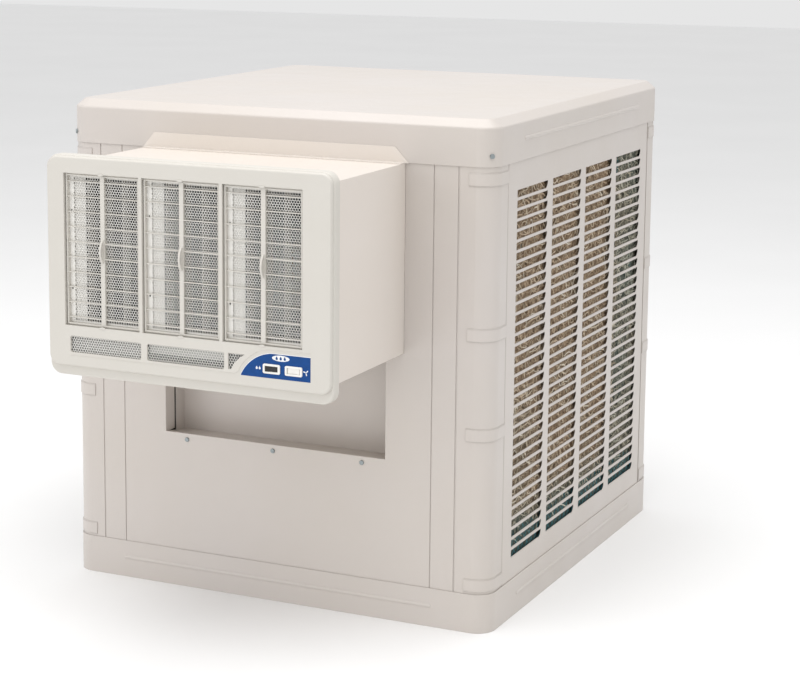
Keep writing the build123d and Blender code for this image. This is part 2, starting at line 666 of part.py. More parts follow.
def cartridge_frame(x):
    """The swivelling louvre frame of one cell: ring, blades, spine, thumb fin and pivots."""
    front = GRILLE_FRONT + CARTRIDGE_FRONT
    rear = front + CARTRIDGE_DEPTH
    low = CELL_BOTTOM + CARTRIDGE_GAP
    high = CELL_TOP - CARTRIDGE_GAP
    half = CARTRIDGE_HALF
    wall = CARTRIDGE_WALL
    ring = slab(-half, half, front, rear, low, high)
    ring -= slab(-half + wall, half - wall, front - 1, rear + 1, low + wall, high - wall)
    middle = (low + high) / 2
    for number in range(BLADE_COUNT):
        z = middle + (number - (BLADE_COUNT - 1) / 2) * BLADE_PITCH
        ring += slab(
            -half + wall, half - wall, front + 1.0, front + 1.0 + BLADE_CHORD,
            z - BLADE_THICKNESS / 2, z + BLADE_THICKNESS / 2,
        )
    ring += slab(
        -SPINE_WIDTH / 2, SPINE_WIDTH / 2, front + 0.5, front + 0.5 + SPINE_DEPTH, low + wall, high - wall
    )
    tip = front + 0.5 - FIN_REACH
    root = front + 2.0
    fin = make_face(
        Curve()
        + [
            ThreePointArc((root, middle - FIN_HEIGHT / 2), (tip, middle), (root, middle + FIN_HEIGHT / 2)),
            Line((root, middle + FIN_HEIGHT / 2), (root, middle - FIN_HEIGHT / 2)),
        ]
    )
    ring += side_prism(fin, -FIN_THICKNESS / 2, FIN_THICKNESS / 2)
    ring += rod(PIVOT_RADIUS, (0, PIVOT_Y, high - wall), (0, PIVOT_Y, CELL_TOP + 3.0))
    ring += rod(PIVOT_RADIUS, (0, PIVOT_Y, low + wall), (0, PIVOT_Y, CELL_BOTTOM - 3.0))
    return Pos(x, 0, 0) * ring


def cartridge_screen(x):
    """The perforated screen close behind the blades of one cartridge."""
    screen_front = GRILLE_FRONT + CARTRIDGE_FRONT + SCREEN_SETBACK
    half = CARTRIDGE_HALF - CARTRIDGE_WALL
    low = CELL_BOTTOM + CARTRIDGE_GAP + CARTRIDGE_WALL
    high = CELL_TOP - CARTRIDGE_GAP - CARTRIDGE_WALL
    middle = Pos(0, (low + high) / 2)
    holes = [middle * spot * Rectangle(SCREEN_HOLE, SCREEN_HOLE) for spot in GridLocations(
        SCREEN_PITCH, SCREEN_PITCH, SCREEN_COLUMNS, SCREEN_ROWS)]
    sheet = middle * Rectangle(2 * half, high - low) - holes
    return Pos(x, 0, 0) * front_prism(sheet, screen_front, screen_front + SCREEN_THICKNESS)


def cartridge_vanes(x):
    """Three upright air-straightening vanes joined by two rails, behind one cartridge's screen."""
    start = GRILLE_FRONT + CARTRIDGE_FRONT + SCREEN_SETBACK + SCREEN_THICKNESS
    low = CELL_BOTTOM + CARTRIDGE_GAP + CARTRIDGE_WALL
    high = CELL_TOP - CARTRIDGE_GAP - CARTRIDGE_WALL
    vanes = slab(-40, 40, start, start + 7.0, low, low + 2.0)
    vanes += slab(-40, 40, start, start + 7.0, high - 2.0, high)
    for place in (-1, 0, 1):
        vane_x = place * VANE_PITCH
        vanes += slab(
            vane_x - VANE_THICKNESS / 2, vane_x + VANE_THICKNESS / 2, start + 3.0, start + 3.0 + VANE_CHORD,
            low, high,
        )
    return Pos(x, 0, 0) * vanes


def cartridges():
    """The three outlet cartridges, each a frame with its screen and vanes."""
    for name, x in cell_centres():
        keep(f"cartridge_frame_{name}", cartridge_frame(x))
        keep(f"cartridge_screen_{name}", cartridge_screen(x))
        keep(f"cartridge_vanes_{name}", cartridge_vanes(x))


# ---------------------------------------------------------------- louvred pad panels
def louvre_sheet(skin, half_length, column_width, low, high):
    """A pressed tray facing +X, with columns of slots through its skin."""
    middle = (low + high) / 2
    slots_middle = SLOT_BOTTOM + ((SLOT_COUNT - 1) * SLOT_PITCH + SLOT_HEIGHT) / 2
    grid = GridLocations(column_width + COLUMN_GAP, SLOT_PITCH, COLUMN_COUNT, SLOT_COUNT)
    slots = [Pos(0, slots_middle) * spot * Rectangle(column_width, SLOT_HEIGHT) for spot in grid]
    face = Pos(0, middle) * Rectangle(2 * half_length, high - low) - slots
    tray = side_prism(face, skin - SHEET, skin)
    back = skin - PANEL_TRAY
    for side in (-1, 1):
        edge = side * (half_length - SHEET / 2)
        tray += slab(back, skin - SHEET, edge - SHEET / 2, edge + SHEET / 2, low, high)
    for z0 in (low, high - SHEET):
        tray += slab(back, skin - SHEET, -half_length + SHEET, half_length - SHEET, z0, z0 + SHEET)
    return tray


def pad_block(skin, half_length, low, high):
    """The wet pad, a plain block that fills the tray."""
    x1 = skin - SHEET - 1.5
    pad = slab(x1 - PAD_THICKNESS, x1, -half_length, half_length, low, high)
    return fillet(pad.edges().filter_by(Axis.Z), 6.0)


def retainer(skin, half_length, low, high):
    """The wire grid that holds the pad in its tray: upright wires welded behind level ones."""
    level_x = skin - PANEL_TRAY + 3 * RETAINER_WIRE
    upright_x = level_x - 1.8 * RETAINER_WIRE
    wires = None
    for number in range(RETAINER_COLUMNS):
        y = (number / (RETAINER_COLUMNS - 1) - 0.5) * 2 * (half_length - 6)
        wire = rod(RETAINER_WIRE, (upright_x, y, low), (upright_x, y, high))
        wires = wire if wires is None else wires + wire
    for number in range(RETAINER_ROWS):
        z = low + 10 + (high - low - 20) * number / (RETAINER_ROWS - 1)
        wires += rod(RETAINER_WIRE, (level_x, -half_length, z), (level_x, half_length, z))
    return wires


def pad_panels():
    """Louvred panel, pad and pad retainer for the right side, the rear and the left side."""
    for name, turn in PANEL_NAMES.items():
        across = name == "rear"
        skin = (REAR if across else SIDE) - SKIN_INSET
        half_length = (SIDE if across else REAR) - POST_LEG - PANEL_GAP
        column_width = COLUMN_WIDTH - ((REAR - SIDE) / 2 if across else 0)
        place = Rot(0, 0, turn)
        panel = louvre_sheet(skin, half_length, column_width, SKIN_BOTTOM, SKIN_TOP)
        keep(f"louvre_panel_{name}", place * panel)
        inner = half_length - SHEET - PAD_CLEARANCE
        low = SKIN_BOTTOM + SHEET + PAD_CLEARANCE
        high = SKIN_TOP - SHEET - PAD_CLEARANCE
        keep(f"pad_{name}", place * pad_block(skin, inner, low, high))
        keep(f"pad_retainer_{name}", place * retainer(skin, inner - 3, low, high))


# ---------------------------------------------------------------- blower
def scroll_top():
    """The height of the scroll's flat top."""
    return BLOWER_Z + SCROLL_STEP / 2 + SCROLL_START + 2 * SCROLL_STEP


def scroll_outline(inset=0.0):
    """The scroll's side view: three growing quarter arcs, then straight walls to the outlet."""
    step = SCROLL_STEP
    first = (BLOWER_Y + step / 2, BLOWER_Z - step / 2)
    second = (BLOWER_Y + step / 2, BLOWER_Z + step / 2)
    third = (BLOWER_Y - step / 2, BLOWER_Z + step / 2)
    r1 = SCROLL_START - inset
    r2 = r1 + step
    r3 = r2 + step
    half = math.sqrt(0.5)
    tongue = (first[0] - r1, first[1])
    bottom = (first[0], first[1] - r1)
    back = (second[0] + r2, second[1])
    top = (third[0], third[1] + r3)
    mouth_y = FRONT + DUCT_INSIDE
    mouth_top = (mouth_y, top[1])
    mouth_bottom = (mouth_y, DUCT_BOTTOM + 5 + inset)
    edges = [
        ThreePointArc(tongue, (first[0] - r1 * half, first[1] - r1 * half), bottom),
        ThreePointArc(bottom, (second[0] + r2 * half, second[1] - r2 * half), back),
        ThreePointArc(back, (third[0] + r3 * half, third[1] + r3 * half), top),
        Line(top, mouth_top),
        Line(mouth_top, mouth_bottom),
        Line(mouth_bottom, tongue),
    ]
    return make_face(Curve() + edges)


def blower_housing():
    """The scroll: a wrapped band and two side plates with round inlets."""
    outline = scroll_outline()
    half = SCROLL_HALF_WIDTH
    whole = side_prism(outline, -half + SHEET, half - SHEET)
    hollow = side_prism(scroll_outline(SHEET), -half, half)
    keep("scroll_wrap", whole - hollow)
    for sign, name in ((-1, "left"), (1, "right")):
        x0 = half - SHEET if sign > 0 else -half
        plate = side_prism(outline, x0, x0 + SHEET)
        plate -= rod(SCROLL_INLET, (x0 - 5, BLOWER_Y, BLOWER_Z), (x0 + 5, BLOWER_Y, BLOWER_Z))
        collar = tube(
            SCROLL_INLET + SHEET, SCROLL_INLET,
            (sign * (half - SHEET - 6), BLOWER_Y, BLOWER_Z), (sign * half, BLOWER_Y, BLOWER_Z),
        )
        keep(f"scroll_side_{name}", plate + collar)


def blower_wheel():
    """The squirrel-cage wheel: two end rings, a centre disc with a hub, and curved blades."""
    half = WHEEL_HALF_WIDTH
    centre = Pos(0, BLOWER_Y, BLOWER_Z)
    wheel = None
    for x0 in (-half, half - 4):
        ring = tube(WHEEL_RADIUS, WHEEL_INNER, (x0, 0, 0), (x0 + 4, 0, 0))
        wheel = ring if wheel is None else wheel + ring
    wheel += rod(WHEEL_RADIUS, (-1.5, 0, 0), (1.5, 0, 0))
    wheel += rod(20.0, (-18, 0, 0), (18, 0, 0))
    inner, outer = WHEEL_INNER + 1, WHEEL_RADIUS - 1
    blade_face = make_face(
        Curve()
        + [
            ThreePointArc((inner, 0), ((inner + outer) / 2, 3.4), (outer, 12.0)),
            Line((outer, 12.0), (outer - 0.6, 13.4)),
            ThreePointArc((outer - 0.6, 13.4), ((inner + outer) / 2 - 0.6, 4.9), (inner, 1.5)),
            Line((inner, 1.5), (inner, 0)),
        ]
    )
    blades = []
    for number in range(WHEEL_BLADES):
        turn = Rot(number * 360 / WHEEL_BLADES, 0, 0)
        blades.append(turn * side_prism(blade_face, -half, half))
    wheel += blades
    wheel -= rod(SHAFT_RADIUS, (-30, 0, 0), (30, 0, 0))
    keep("blower_wheel", centre * wheel)
    shaft = rod(SHAFT_RADIUS, (-24, 0, 0), (MOTOR_START + MOTOR_LENGTH - 12, 0, 0))
    shaft = chamfer(shaft.edges().group_by(Axis.X)[0], 1.0)
    keep("motor_shaft", centre * shaft)


def motor():
    """The motor: a can with two domed end bells and cooling slots, on a three-armed bracket."""
    centre = Pos(0, BLOWER_Y, BLOWER_Z)
    x0, x1 = MOTOR_START, MOTOR_START + MOTOR_LENGTH
    can = rod(MOTOR_RADIUS, (x0, 0, 0), (x1, 0, 0))
    can = fillet(can.edges().group_by(Axis.X)[0] + can.edges().group_by(Axis.X)[-1], 14.0)
    for number in range(8):
        turn = Rot(number * 45, 0, 0)
        can -= turn * slab(x1 - 12, x1 + 1, 32, 46, -4, 4)
    can -= rod(SHAFT_RADIUS + RUNNING_CLEARANCE, (x0 - 1, 0, 0), (x1 - 11, 0, 0))
    keep("motor", centre * can)

    band = tube(MOTOR_RADIUS + 3, MOTOR_RADIUS, (x0 + 18, 0, 0), (x0 + 48, 0, 0))
    for number in range(3):
        turn = Rot(90 + number * 120, 0, 0)
        arm = slab(SCROLL_HALF_WIDTH, SCROLL_HALF_WIDTH + 3, MOTOR_RADIUS + 1, 140, -10, 10)
        arm += slab(SCROLL_HALF_WIDTH, x0 + 40, MOTOR_RADIUS + 1, MOTOR_RADIUS + 4, -10, 10)
        band += turn * arm
    band -= rod(MOTOR_RADIUS, (0, 0, 0), (x1 + 10, 0, 0))
    keep("motor_bracket", centre * band)


# ---------------------------------------------------------------- water system
def pump():
    """The submersible pump: a strainer base, a sealed motor cap, and the impeller in its chamber."""
    place = Pos(PUMP_X, PUMP_Y, 0)
    floor = SHEET
    base = rod(42.0, (0, 0, floor), (0, 0, floor + 46))
    chamber = rod(24.0, (0, 0, floor - 1), (0, 0, floor + 22))
    base -= chamber
    for number in range(24):
        turn = Rot(0, 0, number * 15)
        base -= turn * slab(30, 50, -1.6, 1.6, floor + 4, floor + 18)
    for number in range(8):
        turn = Rot(0, 0, number * 45)
        base -= turn * slab(20, 32, -1.6, 1.6, floor + 4, floor + 18)
    cap = rod(31.0, (0, 0, floor + 46), (0, 0, floor + 118))
    cap = fillet(cap.edges().group_by(Axis.Z)[-1], 10.0)
    outlet = rod(8.0, (-40, 0, floor + 24), (-40, 0, floor + 60))
    body = base + cap + outlet
    body -= rod(2.55, (0, 0, floor + 10), (0, 0, floor + 60))
    body -= rod(HOSE_BORE, (-40, 0, floor + 30), (-40, 0, floor + 61))
    keep("pump_body", place * body)

    impeller = rod(20.0, (0, 0, floor + 8), (0, 0, floor + 10))
    impeller += rod(2.5, (0, 0, floor + 8), (0, 0, floor + 58))
    for number in range(6):
        turn = Rot(0, 0, number * 60)
        impeller += turn * slab(4, 19, -0.8, 0.8, floor + 10, floor + 18)
    keep("pump_impeller", place * impeller)


def pump_hose():
    """The riser hose from the pump's outlet up into the trough's inlet."""
    x0 = PUMP_X - 40
    x1 = HOSE_INLET_X
    low = SHEET + 60
    points = [
        (x0, PUMP_Y, low),
        (x0, PUMP_Y, low + 105),
        (x0 + 7, PUMP_Y + 10, low + 215),
        (x0 + 2, PUMP_Y + 22, low + 330),
        (x1 + 4, PUMP_Y + 16, low + 450),
        (x1, PUMP_Y, low + 560),
        (x1, PUMP_Y, TROUGH_BOTTOM - 12),
    ]
    radii = []
    for before, here, after in zip(points, points[1:], points[2:]):
        arrive = Vector(*here) - Vector(*before)
        leave = Vector(*after) - Vector(*here)
        turn = math.radians(arrive.get_angle(leave))
        radii.append(0.45 * min(arrive.length, leave.length) / math.tan(turn / 2))
    print("hose radii", [round(r) for r in radii])
    path = FilletPolyline(*points, radius=radii)
    start = Plane(origin=path @ 0, z_dir=path % 0)
    hose = sweep(start * Circle(HOSE_RADIUS), path=path) - sweep(start * Circle(HOSE_BORE), path=path)
    print("hose length", round(path.length), "volume ratio",
          round(hose.volume / (math.pi * (HOSE_RADIUS**2 - HOSE_BORE**2) * path.length), 3))
    keep("pump_hose", hose)


def water_trough():
    """The U-shaped trough above the three pads, with drip holes and a hose inlet."""
    outer = TROUGH_OUTER
    reach_y = REAR - (SIDE - TROUGH_OUTER)
    inner = outer - TROUGH_WIDTH
    inner_y = reach_y - TROUGH_WIDTH
    front = -290.0

    def u_shape(grow, low, high):
        shape = slab(-outer - grow, outer + grow, front - grow, reach_y + grow, low, high)
        return shape - slab(-inner + grow, inner - grow, front - grow - 1, inner_y - grow, low - 1, high + 1)

    trough = u_shape(0, TROUGH_BOTTOM, TROUGH_TOP) - u_shape(-SHEET, TROUGH_BOTTOM + SHEET, TROUGH_TOP + 1)
    centre_x = outer - TROUGH_WIDTH / 2
    drips = []
    for number in range(15):
        y = front + 20 + number * 40
        for x in (-centre_x, centre_x):
            drips.append(rod(1.6, (x, y, TROUGH_BOTTOM - 1), (x, y, TROUGH_BOTTOM + 3)))
    for number in range(13):
        x = (number - 6) * 44
        y = reach_y - TROUGH_WIDTH / 2
        drips.append(rod(1.6, (x, y, TROUGH_BOTTOM - 1), (x, y, TROUGH_BOTTOM + 3)))
    trough -= drips
    inlet_x = HOSE_INLET_X
    trough += slab(-inner, inlet_x + 9, PUMP_Y - 9, PUMP_Y + 9, TROUGH_BOTTOM, TROUGH_TOP)
    trough += rod(HOSE_RADIUS + 1, (inlet_x, PUMP_Y, TROUGH_BOTTOM - 12), (inlet_x, PUMP_Y, TROUGH_BOTTOM))
    trough -= rod(HOSE_BORE, (inlet_x, PUMP_Y, TROUGH_BOTTOM - 13), (inlet_x, PUMP_Y, TROUGH_BOTTOM + 6))
    trough -= slab(-inner - 4, inlet_x + 3, PUMP_Y - 4, PUMP_Y + 4, TROUGH_BOTTOM + 3, TROUGH_BOTTOM + 6)
    keep("water_trough", trough)


def float_valve():
    """The fill valve in the rear left corner, with its brass arm and float ball."""
    diagonal = Rot(0, 0, -45)
    place = Pos(FLOAT_X, FLOAT_Y, FLOAT_Z) * diagonal
    barrel = rod(9.0, (0, 0, -10), (0, 0, NIPPLE_Z - FLOAT_Z + 10))
    body = barrel + slab(0, 19, -7, 7, -6, 6)
    body -= slab(9.5, 20, -3.3, 3.3, -7, 7)
    body -= rod(1.56, (14, -8, 0), (14, 8, 0))
    keep("float_valve", place * body)

    eye = slab(11.0, 18, -3.0, 3.0, -3.0, 3.0)
    eye += rod(1.5, (14, -7, 0), (14, 7, 0))
    drop = 26.0
    bend = (52, 0, -2)
    end = (FLOAT_ARM_LENGTH, 0, -drop)
    arm = eye + rod(1.8, (16, 0, 0), bend) + Pos(*bend) * Sphere(1.8) + rod(1.8, bend, end)
    keep("float_arm", place * arm)
    ball = Pos(*end) * Sphere(FLOAT_RADIUS)
    ball -= rod(1.8, bend, end)
    keep("float_ball", place * ball)

    wall_y = REAR - SKIN_INSET
    nipple = rod(NIPPLE_RADIUS, (FLOAT_X, FLOAT_Y, NIPPLE_Z), (FLOAT_X, wall_y + 16, NIPPLE_Z))
    nut = Plane(origin=(FLOAT_X, wall_y, NIPPLE_Z), z_dir=(0, 1, 0)) * RegularPolygon(8.0, 6)
    inlet = nipple + extrude(nut, 5.0) - place * barrel
    bore = rod(2.2, (FLOAT_X, FLOAT_Y, NIPPLE_Z), (FLOAT_X, wall_y + 17, NIPPLE_Z))
    keep("water_inlet", inlet - bore)


def drain():
    """The threaded drain through the raised seat, and the overflow pipe that stands in it."""
    seat = DRAIN_DIMPLE_RISE
    x, y = DRAIN_X, DRAIN_Y
    fitting = rod(DRAIN_THREAD_RADIUS, (x, y, 1.0), (x, y, seat + 4))
    fitting += rod(20.0, (x, y, seat), (x, y, seat + 4))
    fitting += rod(18.0, (x, y, DRAIN_SHOULDER), (x, y, seat - SHEET))
    fitting -= rod(OVERFLOW_RADIUS + 0.06, (x, y, 6.0), (x, y, seat + 10))
    fitting -= rod(7.0, (x, y, 0), (x, y, seat))
    keep("drain_fitting", fitting)
    pipe = tube(OVERFLOW_RADIUS, 6.5, (x, y, 6.2), (x, y, OVERFLOW_TOP))
    pipe += tube(12.0, 6.5, (x, y, seat + 4.2), (x, y, seat + 8))
    keep("overflow_pipe", pipe)


# ---------------------------------------------------------------- build and write
def build_all():
    base_pan()
    lid()
    corner_posts()
    front_strips()
    front_panel()
    recess_liner()
    recess_screws()
    lid_screws()
    duct()
    cord_gland()
    grille_frame()
    control_badge()
    switch_parts()
    control_box()
    lower_screen()
    cartridges()
    pad_panels()
    blower_housing()
    blower_wheel()
    motor()
    pump()
    pump_hose()
    water_trough()
    float_valve()
    drain()


build_all()
os.makedirs("parts", exist_ok=True)
for node_name, shape in NODES.items():
    export_step(shape, f"parts/{node_name}.step")
print(len(NODES), "nodes written")
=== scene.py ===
import json
import math
import random

import bpy
import numpy as np
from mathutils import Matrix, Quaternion, Vector


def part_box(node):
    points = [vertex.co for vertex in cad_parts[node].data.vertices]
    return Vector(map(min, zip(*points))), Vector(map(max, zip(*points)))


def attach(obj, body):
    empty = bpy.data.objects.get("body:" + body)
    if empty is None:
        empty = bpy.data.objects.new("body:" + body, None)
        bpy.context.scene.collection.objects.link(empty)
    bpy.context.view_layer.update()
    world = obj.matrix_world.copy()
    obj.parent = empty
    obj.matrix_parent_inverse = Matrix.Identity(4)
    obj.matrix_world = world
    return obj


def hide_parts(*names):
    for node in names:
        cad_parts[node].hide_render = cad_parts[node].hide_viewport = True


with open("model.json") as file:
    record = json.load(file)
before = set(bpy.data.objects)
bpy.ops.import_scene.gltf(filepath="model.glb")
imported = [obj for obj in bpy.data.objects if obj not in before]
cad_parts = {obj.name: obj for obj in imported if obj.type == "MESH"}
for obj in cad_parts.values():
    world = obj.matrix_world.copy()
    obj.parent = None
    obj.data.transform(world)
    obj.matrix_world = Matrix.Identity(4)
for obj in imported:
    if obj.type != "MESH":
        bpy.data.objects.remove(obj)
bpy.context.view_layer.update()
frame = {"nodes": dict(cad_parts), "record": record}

MM = 0.001

# ---------------------------------------------------------------- driving sizes, in metres
# the perforated screens; a hole is measured from its middle to a corner
SCREEN_PITCH = 4.05 * MM
SCREEN_HOLE = 1.86 * MM
SCREEN_SETBACK = 5.5 * MM
SCREEN_THICKNESS = 0.6 * MM
SCREEN_MARGIN = 8.0 * MM
SCREEN_EDGE = 3.0 * MM
SCREEN_INSET = 1.0 * MM

# the small pieces on and behind the grille
PIVOT_REACH = 5.0 * MM
LIP_WIDTH = 1.2 * MM
LIP_HEIGHT = 1.4 * MM
LIP_SETBACK = 1.2 * MM
CHEEK_START = 6.0 * MM
CHEEK_END = 26.0 * MM
LATCH_HOLE_IN = 3.4 * MM
GREY_BAFFLE_END = -68.0 * MM
PALE_BAFFLE = (-62.0 * MM, 60.0 * MM)
PALE_BAFFLE_FOOT = 0.42
BAFFLE_GAP = 4.0 * MM
BAFFLE_SHEET = 1.2 * MM
BADGE_ARC_RUN = 47.5 * MM
BEAD_RADIUS = 0.45 * MM
BEAD_OUTSET = 5.5 * MM

# the louvred panels
SLOT_COLUMNS = 4
SLOT_ROWS = 36
SLOT_PITCH = 15.53 * MM
SLOT_HEIGHT = 11.5 * MM
SLOT_BOTTOM = 93.0 * MM
SLOT_CORNER = 1.2 * MM
SLOT_RAMP = 5.0 * MM
SLOT_LIP = 0.5 * MM
COLUMN_GAP = 22.5 * MM
COLUMN_WIDTHS = {"right": 126.0 * MM, "rear": 114.5 * MM, "left": 126.0 * MM}
PANEL_SHEET = 0.9 * MM
PANEL_FOLD = 44.0 * MM

# the pads; their face and back are depths behind the panel's skin
PAD_FACE_DEPTH = 5.5 * MM
PAD_BACK_DEPTH = 39.0 * MM
PAD_PLAY = 5.0 * MM
PAD_ROUNDING = 6.0 * MM
PAD_ROUND_RUN = 10.0 * MM
PAD_LUMPS = 3.2 * MM
STRANDS_PER_PAD = 3400
STRAND_STEPS = 6
STRAND_HALF_DEPTH = 0.35 * MM
NET_PITCH = 13.0 * MM
NET_RADIUS = 0.45 * MM
BARE_PAD_HEIGHT = 116.0 * MM
# the heights below which the pad's foot is painted darker and teal-grey: painted shade
SHADED_FOOT = (0.118, 0.185)

# the cabinet
DUCT_HALF_WIDTH = 216.0 * MM
SEAM_PLAY = 0.05 * MM
SEAM_DEPTH = 0.9 * MM
SEAM_BACK = 4.0 * MM
SEAM_TUCK = 6.0 * MM


# ---------------------------------------------------------------- node helpers
class Recipe:
    """A material under construction: a Principled shader and short ways to add nodes to it."""

    def __init__(self, name):
        self.material = bpy.data.materials.new(name)
        self.material.use_nodes = True
        self.nodes = self.material.node_tree.nodes
        self.links = self.material.node_tree.links
        self.shader = self.nodes["Principled BSDF"]
        self.place = self.nodes.new("ShaderNodeTexCoord").outputs["Object"]

    def noise(self, scale, detail=3.0, roughness=0.5, stretch=None):
        node = self.nodes.new("ShaderNodeTexNoise")
        node.inputs["Scale"].default_value = scale
        node.inputs["Detail"].default_value = detail
        node.inputs["Roughness"].default_value = roughness
        self.links.new(self.stretched(stretch), node.inputs["Vector"])
        return node.outputs["Fac"]

    def stretched(self, stretch):
        if stretch is None:
            return self.place
        node = self.nodes.new("ShaderNodeMapping")
        node.inputs["Scale"].default_value = stretch
        self.links.new(self.place, node.inputs["Vector"])
        return node.outputs["Vector"]

    def cells(self, scale):
        node = self.nodes.new("ShaderNodeTexVoronoi")
        node.inputs["Scale"].default_value = scale
        self.links.new(self.place, node.inputs["Vector"])
        return node.outputs["Color"]

    def attribute(self, name):
        node = self.nodes.new("ShaderNodeAttribute")
        node.attribute_name = name
        return node.outputs["Fac"]

    def ramp(self, value, stops):
        node = self.nodes.new("ShaderNodeValToRGB")
        elements = node.color_ramp.elements
        while len(elements) < len(stops):
            elements.new(0.5)
        for element, (place, colour) in zip(elements, stops):
            element.position = place
            element.color = (*colour, 1.0)
        self.links.new(value, node.inputs["Fac"])
        return node.outputs["Color"]

    def span(self, value, low, high, from_low=0.3, from_high=0.7):
        node = self.nodes.new("ShaderNodeMapRange")
        node.inputs["From Min"].default_value = from_low
        node.inputs["From Max"].default_value = from_high
        node.inputs["To Min"].default_value = low
        node.inputs["To Max"].default_value = high
        self.links.new(value, node.inputs["Value"])
        return node.outputs["Result"]

    def mix(self, factor, first, second):
        node = self.nodes.new("ShaderNodeMix")
        node.data_type = "RGBA"
        for socket, value in (("Factor", factor), ("A", first), ("B", second)):
            target = [s for s in node.inputs if s.name == socket and s.enabled][0]
            if isinstance(value, bpy.types.NodeSocket):
                self.links.new(value, target)
            elif isinstance(value, tuple):
                target.default_value = (*value, 1.0)
            else:
                target.default_value = value
        return [s for s in node.outputs if s.enabled][0]

    def soft_edges(self, radius):
        node = self.nodes.new("ShaderNodeBevel")
        node.samples = 4
        node.inputs["Radius"].default_value = radius
        return node.outputs["Normal"]

    def edge_mask(self, radius):
        """Near 1 along sharp edges and 0 on open faces."""
        geometry = self.nodes.new("ShaderNodeNewGeometry")
        dot = self.nodes.new("ShaderNodeVectorMath")
        dot.operation = "DOT_PRODUCT"
        self.links.new(self.soft_edges(radius), dot.inputs[0])
        self.links.new(geometry.outputs["Normal"], dot.inputs[1])
        return self.span(dot.outputs["Value"], 1.0, 0.0, 0.72, 0.97)

    def bump(self, height, distance, normal=None, strength=1.0):
        node = self.nodes.new("ShaderNodeBump")
        node.inputs["Distance"].default_value = distance
        node.inputs["Strength"].default_value = strength
        self.links.new(height, node.inputs["Height"])
        if normal is not None:
            self.links.new(normal, node.inputs["Normal"])
        return node.outputs["Normal"]

    def set(self, **values):
        for name, value in values.items():
            socket = self.shader.inputs[name.replace("_", " ")]
            if isinstance(value, bpy.types.NodeSocket):
                self.links.new(value, socket)
            elif isinstance(value, tuple):
                socket.default_value = (*value, 1.0)
            else:
                socket.default_value = value
        return self


def scaled(colour, factor):
    """The colour made darker or lighter by a factor, with no channel above 1."""
    return tuple(min(1.0, channel * factor) for channel in colour)


# ---------------------------------------------------------------- materials
def inside_of(r, node, depth=0.8 * MM):
    """1 on the faces inside a box-shaped CAD node's side, top and bottom walls, else 0."""
    low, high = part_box(node)
    centre = (low + high) / 2
    half_width = min(high.x - centre.x, DUCT_HALF_WIDTH) - depth
    half_height = (high.z - low.z) / 2 - depth
    split = r.nodes.new("ShaderNodeSeparateXYZ")
    r.links.new(r.place, split.inputs["Vector"])
    masks = []
    for axis, middle, half in (("X", centre.x, half_width), ("Z", centre.z, half_height)):
        compare = r.nodes.new("ShaderNodeMath")
        compare.operation = "COMPARE"
        compare.inputs[1].default_value = middle
        compare.inputs[2].default_value = half
        r.links.new(split.outputs[axis], compare.inputs[0])
        masks.append(compare.outputs["Value"])
    both = r.nodes.new("ShaderNodeMath")
    both.operation = "MULTIPLY"
    r.links.new(masks[0], both.inputs[0])
    r.links.new(masks[1], both.inputs[1])
    return both.outputs["Value"]


def enamel(name, colour, warm, gloss=0.36, shaded_inside=None):
    """Baked enamel on pressed sheet: faint mottling, orange peel and slightly worn edges.
    The inside of the named node is painted near-black grey: painted shade for the shade inside it."""
    r = Recipe(name)
    mottle = r.ramp(r.noise(3.2, 4.0), [(0.35, colour), (0.68, warm)])
    specks = r.span(r.noise(900.0, 2.0), 0.0, 0.10, 0.62, 0.72)
    base = r.mix(specks, mottle, scaled(warm, 0.72))
    base = r.mix(r.span(r.edge_mask(1.2 * MM), 0.0, 0.22, 0.0, 1.0), base, scaled(colour, 0.86))
    if shaded_inside is not None:
        # painted shade: the inner faces drawn near-black, where shade falls inside the duct
        painted_inner_shade = r.ramp(r.noise(20.0, 4.0), [(0.3, (0.10, 0.10, 0.095)), (0.7, (0.15, 0.148, 0.14))])
        base = r.mix(inside_of(r, shaded_inside), base, painted_inner_shade)
    peel = r.bump(r.noise(420.0, 3.0), 0.00018, r.soft_edges(1.1 * MM), 0.55)
    r.set(Base_Color=base, Normal=peel, Roughness=r.span(r.noise(14.0, 5.0), gloss - 0.05, gloss + 0.09))
    r.set(IOR=1.5, Coat_Weight=0.12, Coat_Roughness=0.22)
    return r.material


def moulded_plastic(name, colour, shade, gloss=0.42, grain=700.0, edge=0.7 * MM):
    """Injection-moulded plastic with a fine spark-eroded grain."""
    r = Recipe(name)
    base = r.ramp(r.noise(9.0, 4.0), [(0.35, colour), (0.7, shade)])
    base = r.mix(r.span(r.edge_mask(edge), 0.0, 0.18, 0.0, 1.0), base, scaled(colour, 1.06))
    grained = r.bump(r.noise(grain, 3.0), 0.00012, r.soft_edges(edge), 0.5)
    r.set(Base_Color=base, Normal=grained, Roughness=r.span(r.noise(35.0, 4.0), gloss - 0.06, gloss + 0.08))
    r.set(IOR=1.49)
    return r.material


def printed_film(name, colour):
    """A glossy printed plate with fine print mottle."""
    r = Recipe(name)
    base = r.ramp(r.noise(160.0, 4.0), [(0.3, scaled(colour, 0.9)), (0.7, scaled(colour, 1.1))])
    r.set(Base_Color=base, Roughness=r.span(r.noise(60.0), 0.42, 0.52), IOR=1.34)
    r.set(Normal=r.bump(r.noise(500.0), 0.00005))
    return r.material


def galvanised(name, tone=0.60):
    """Hot-dip galvanised sheet: spangle crystals of slightly different grey and gloss."""
    r = Recipe(name)
    spangle = r.cells(70.0)
    low, high = (tone * 0.84,) * 3, (tone * 1.12, tone * 1.13, tone * 1.15)
    base = r.ramp(spangle, [(0.1, low), (0.9, high)])
    base = r.mix(r.span(r.noise(11.0, 5.0), 0.0, 0.35), base, (0.42, 0.42, 0.41))
    r.set(Base_Color=base, Metallic=0.85, Roughness=r.span(spangle, 0.34, 0.52, 0.0, 1.0))
    r.set(Normal=r.bump(r.noise(260.0, 4.0), 0.00012, r.soft_edges(0.8 * MM), 0.4))
    return r.material


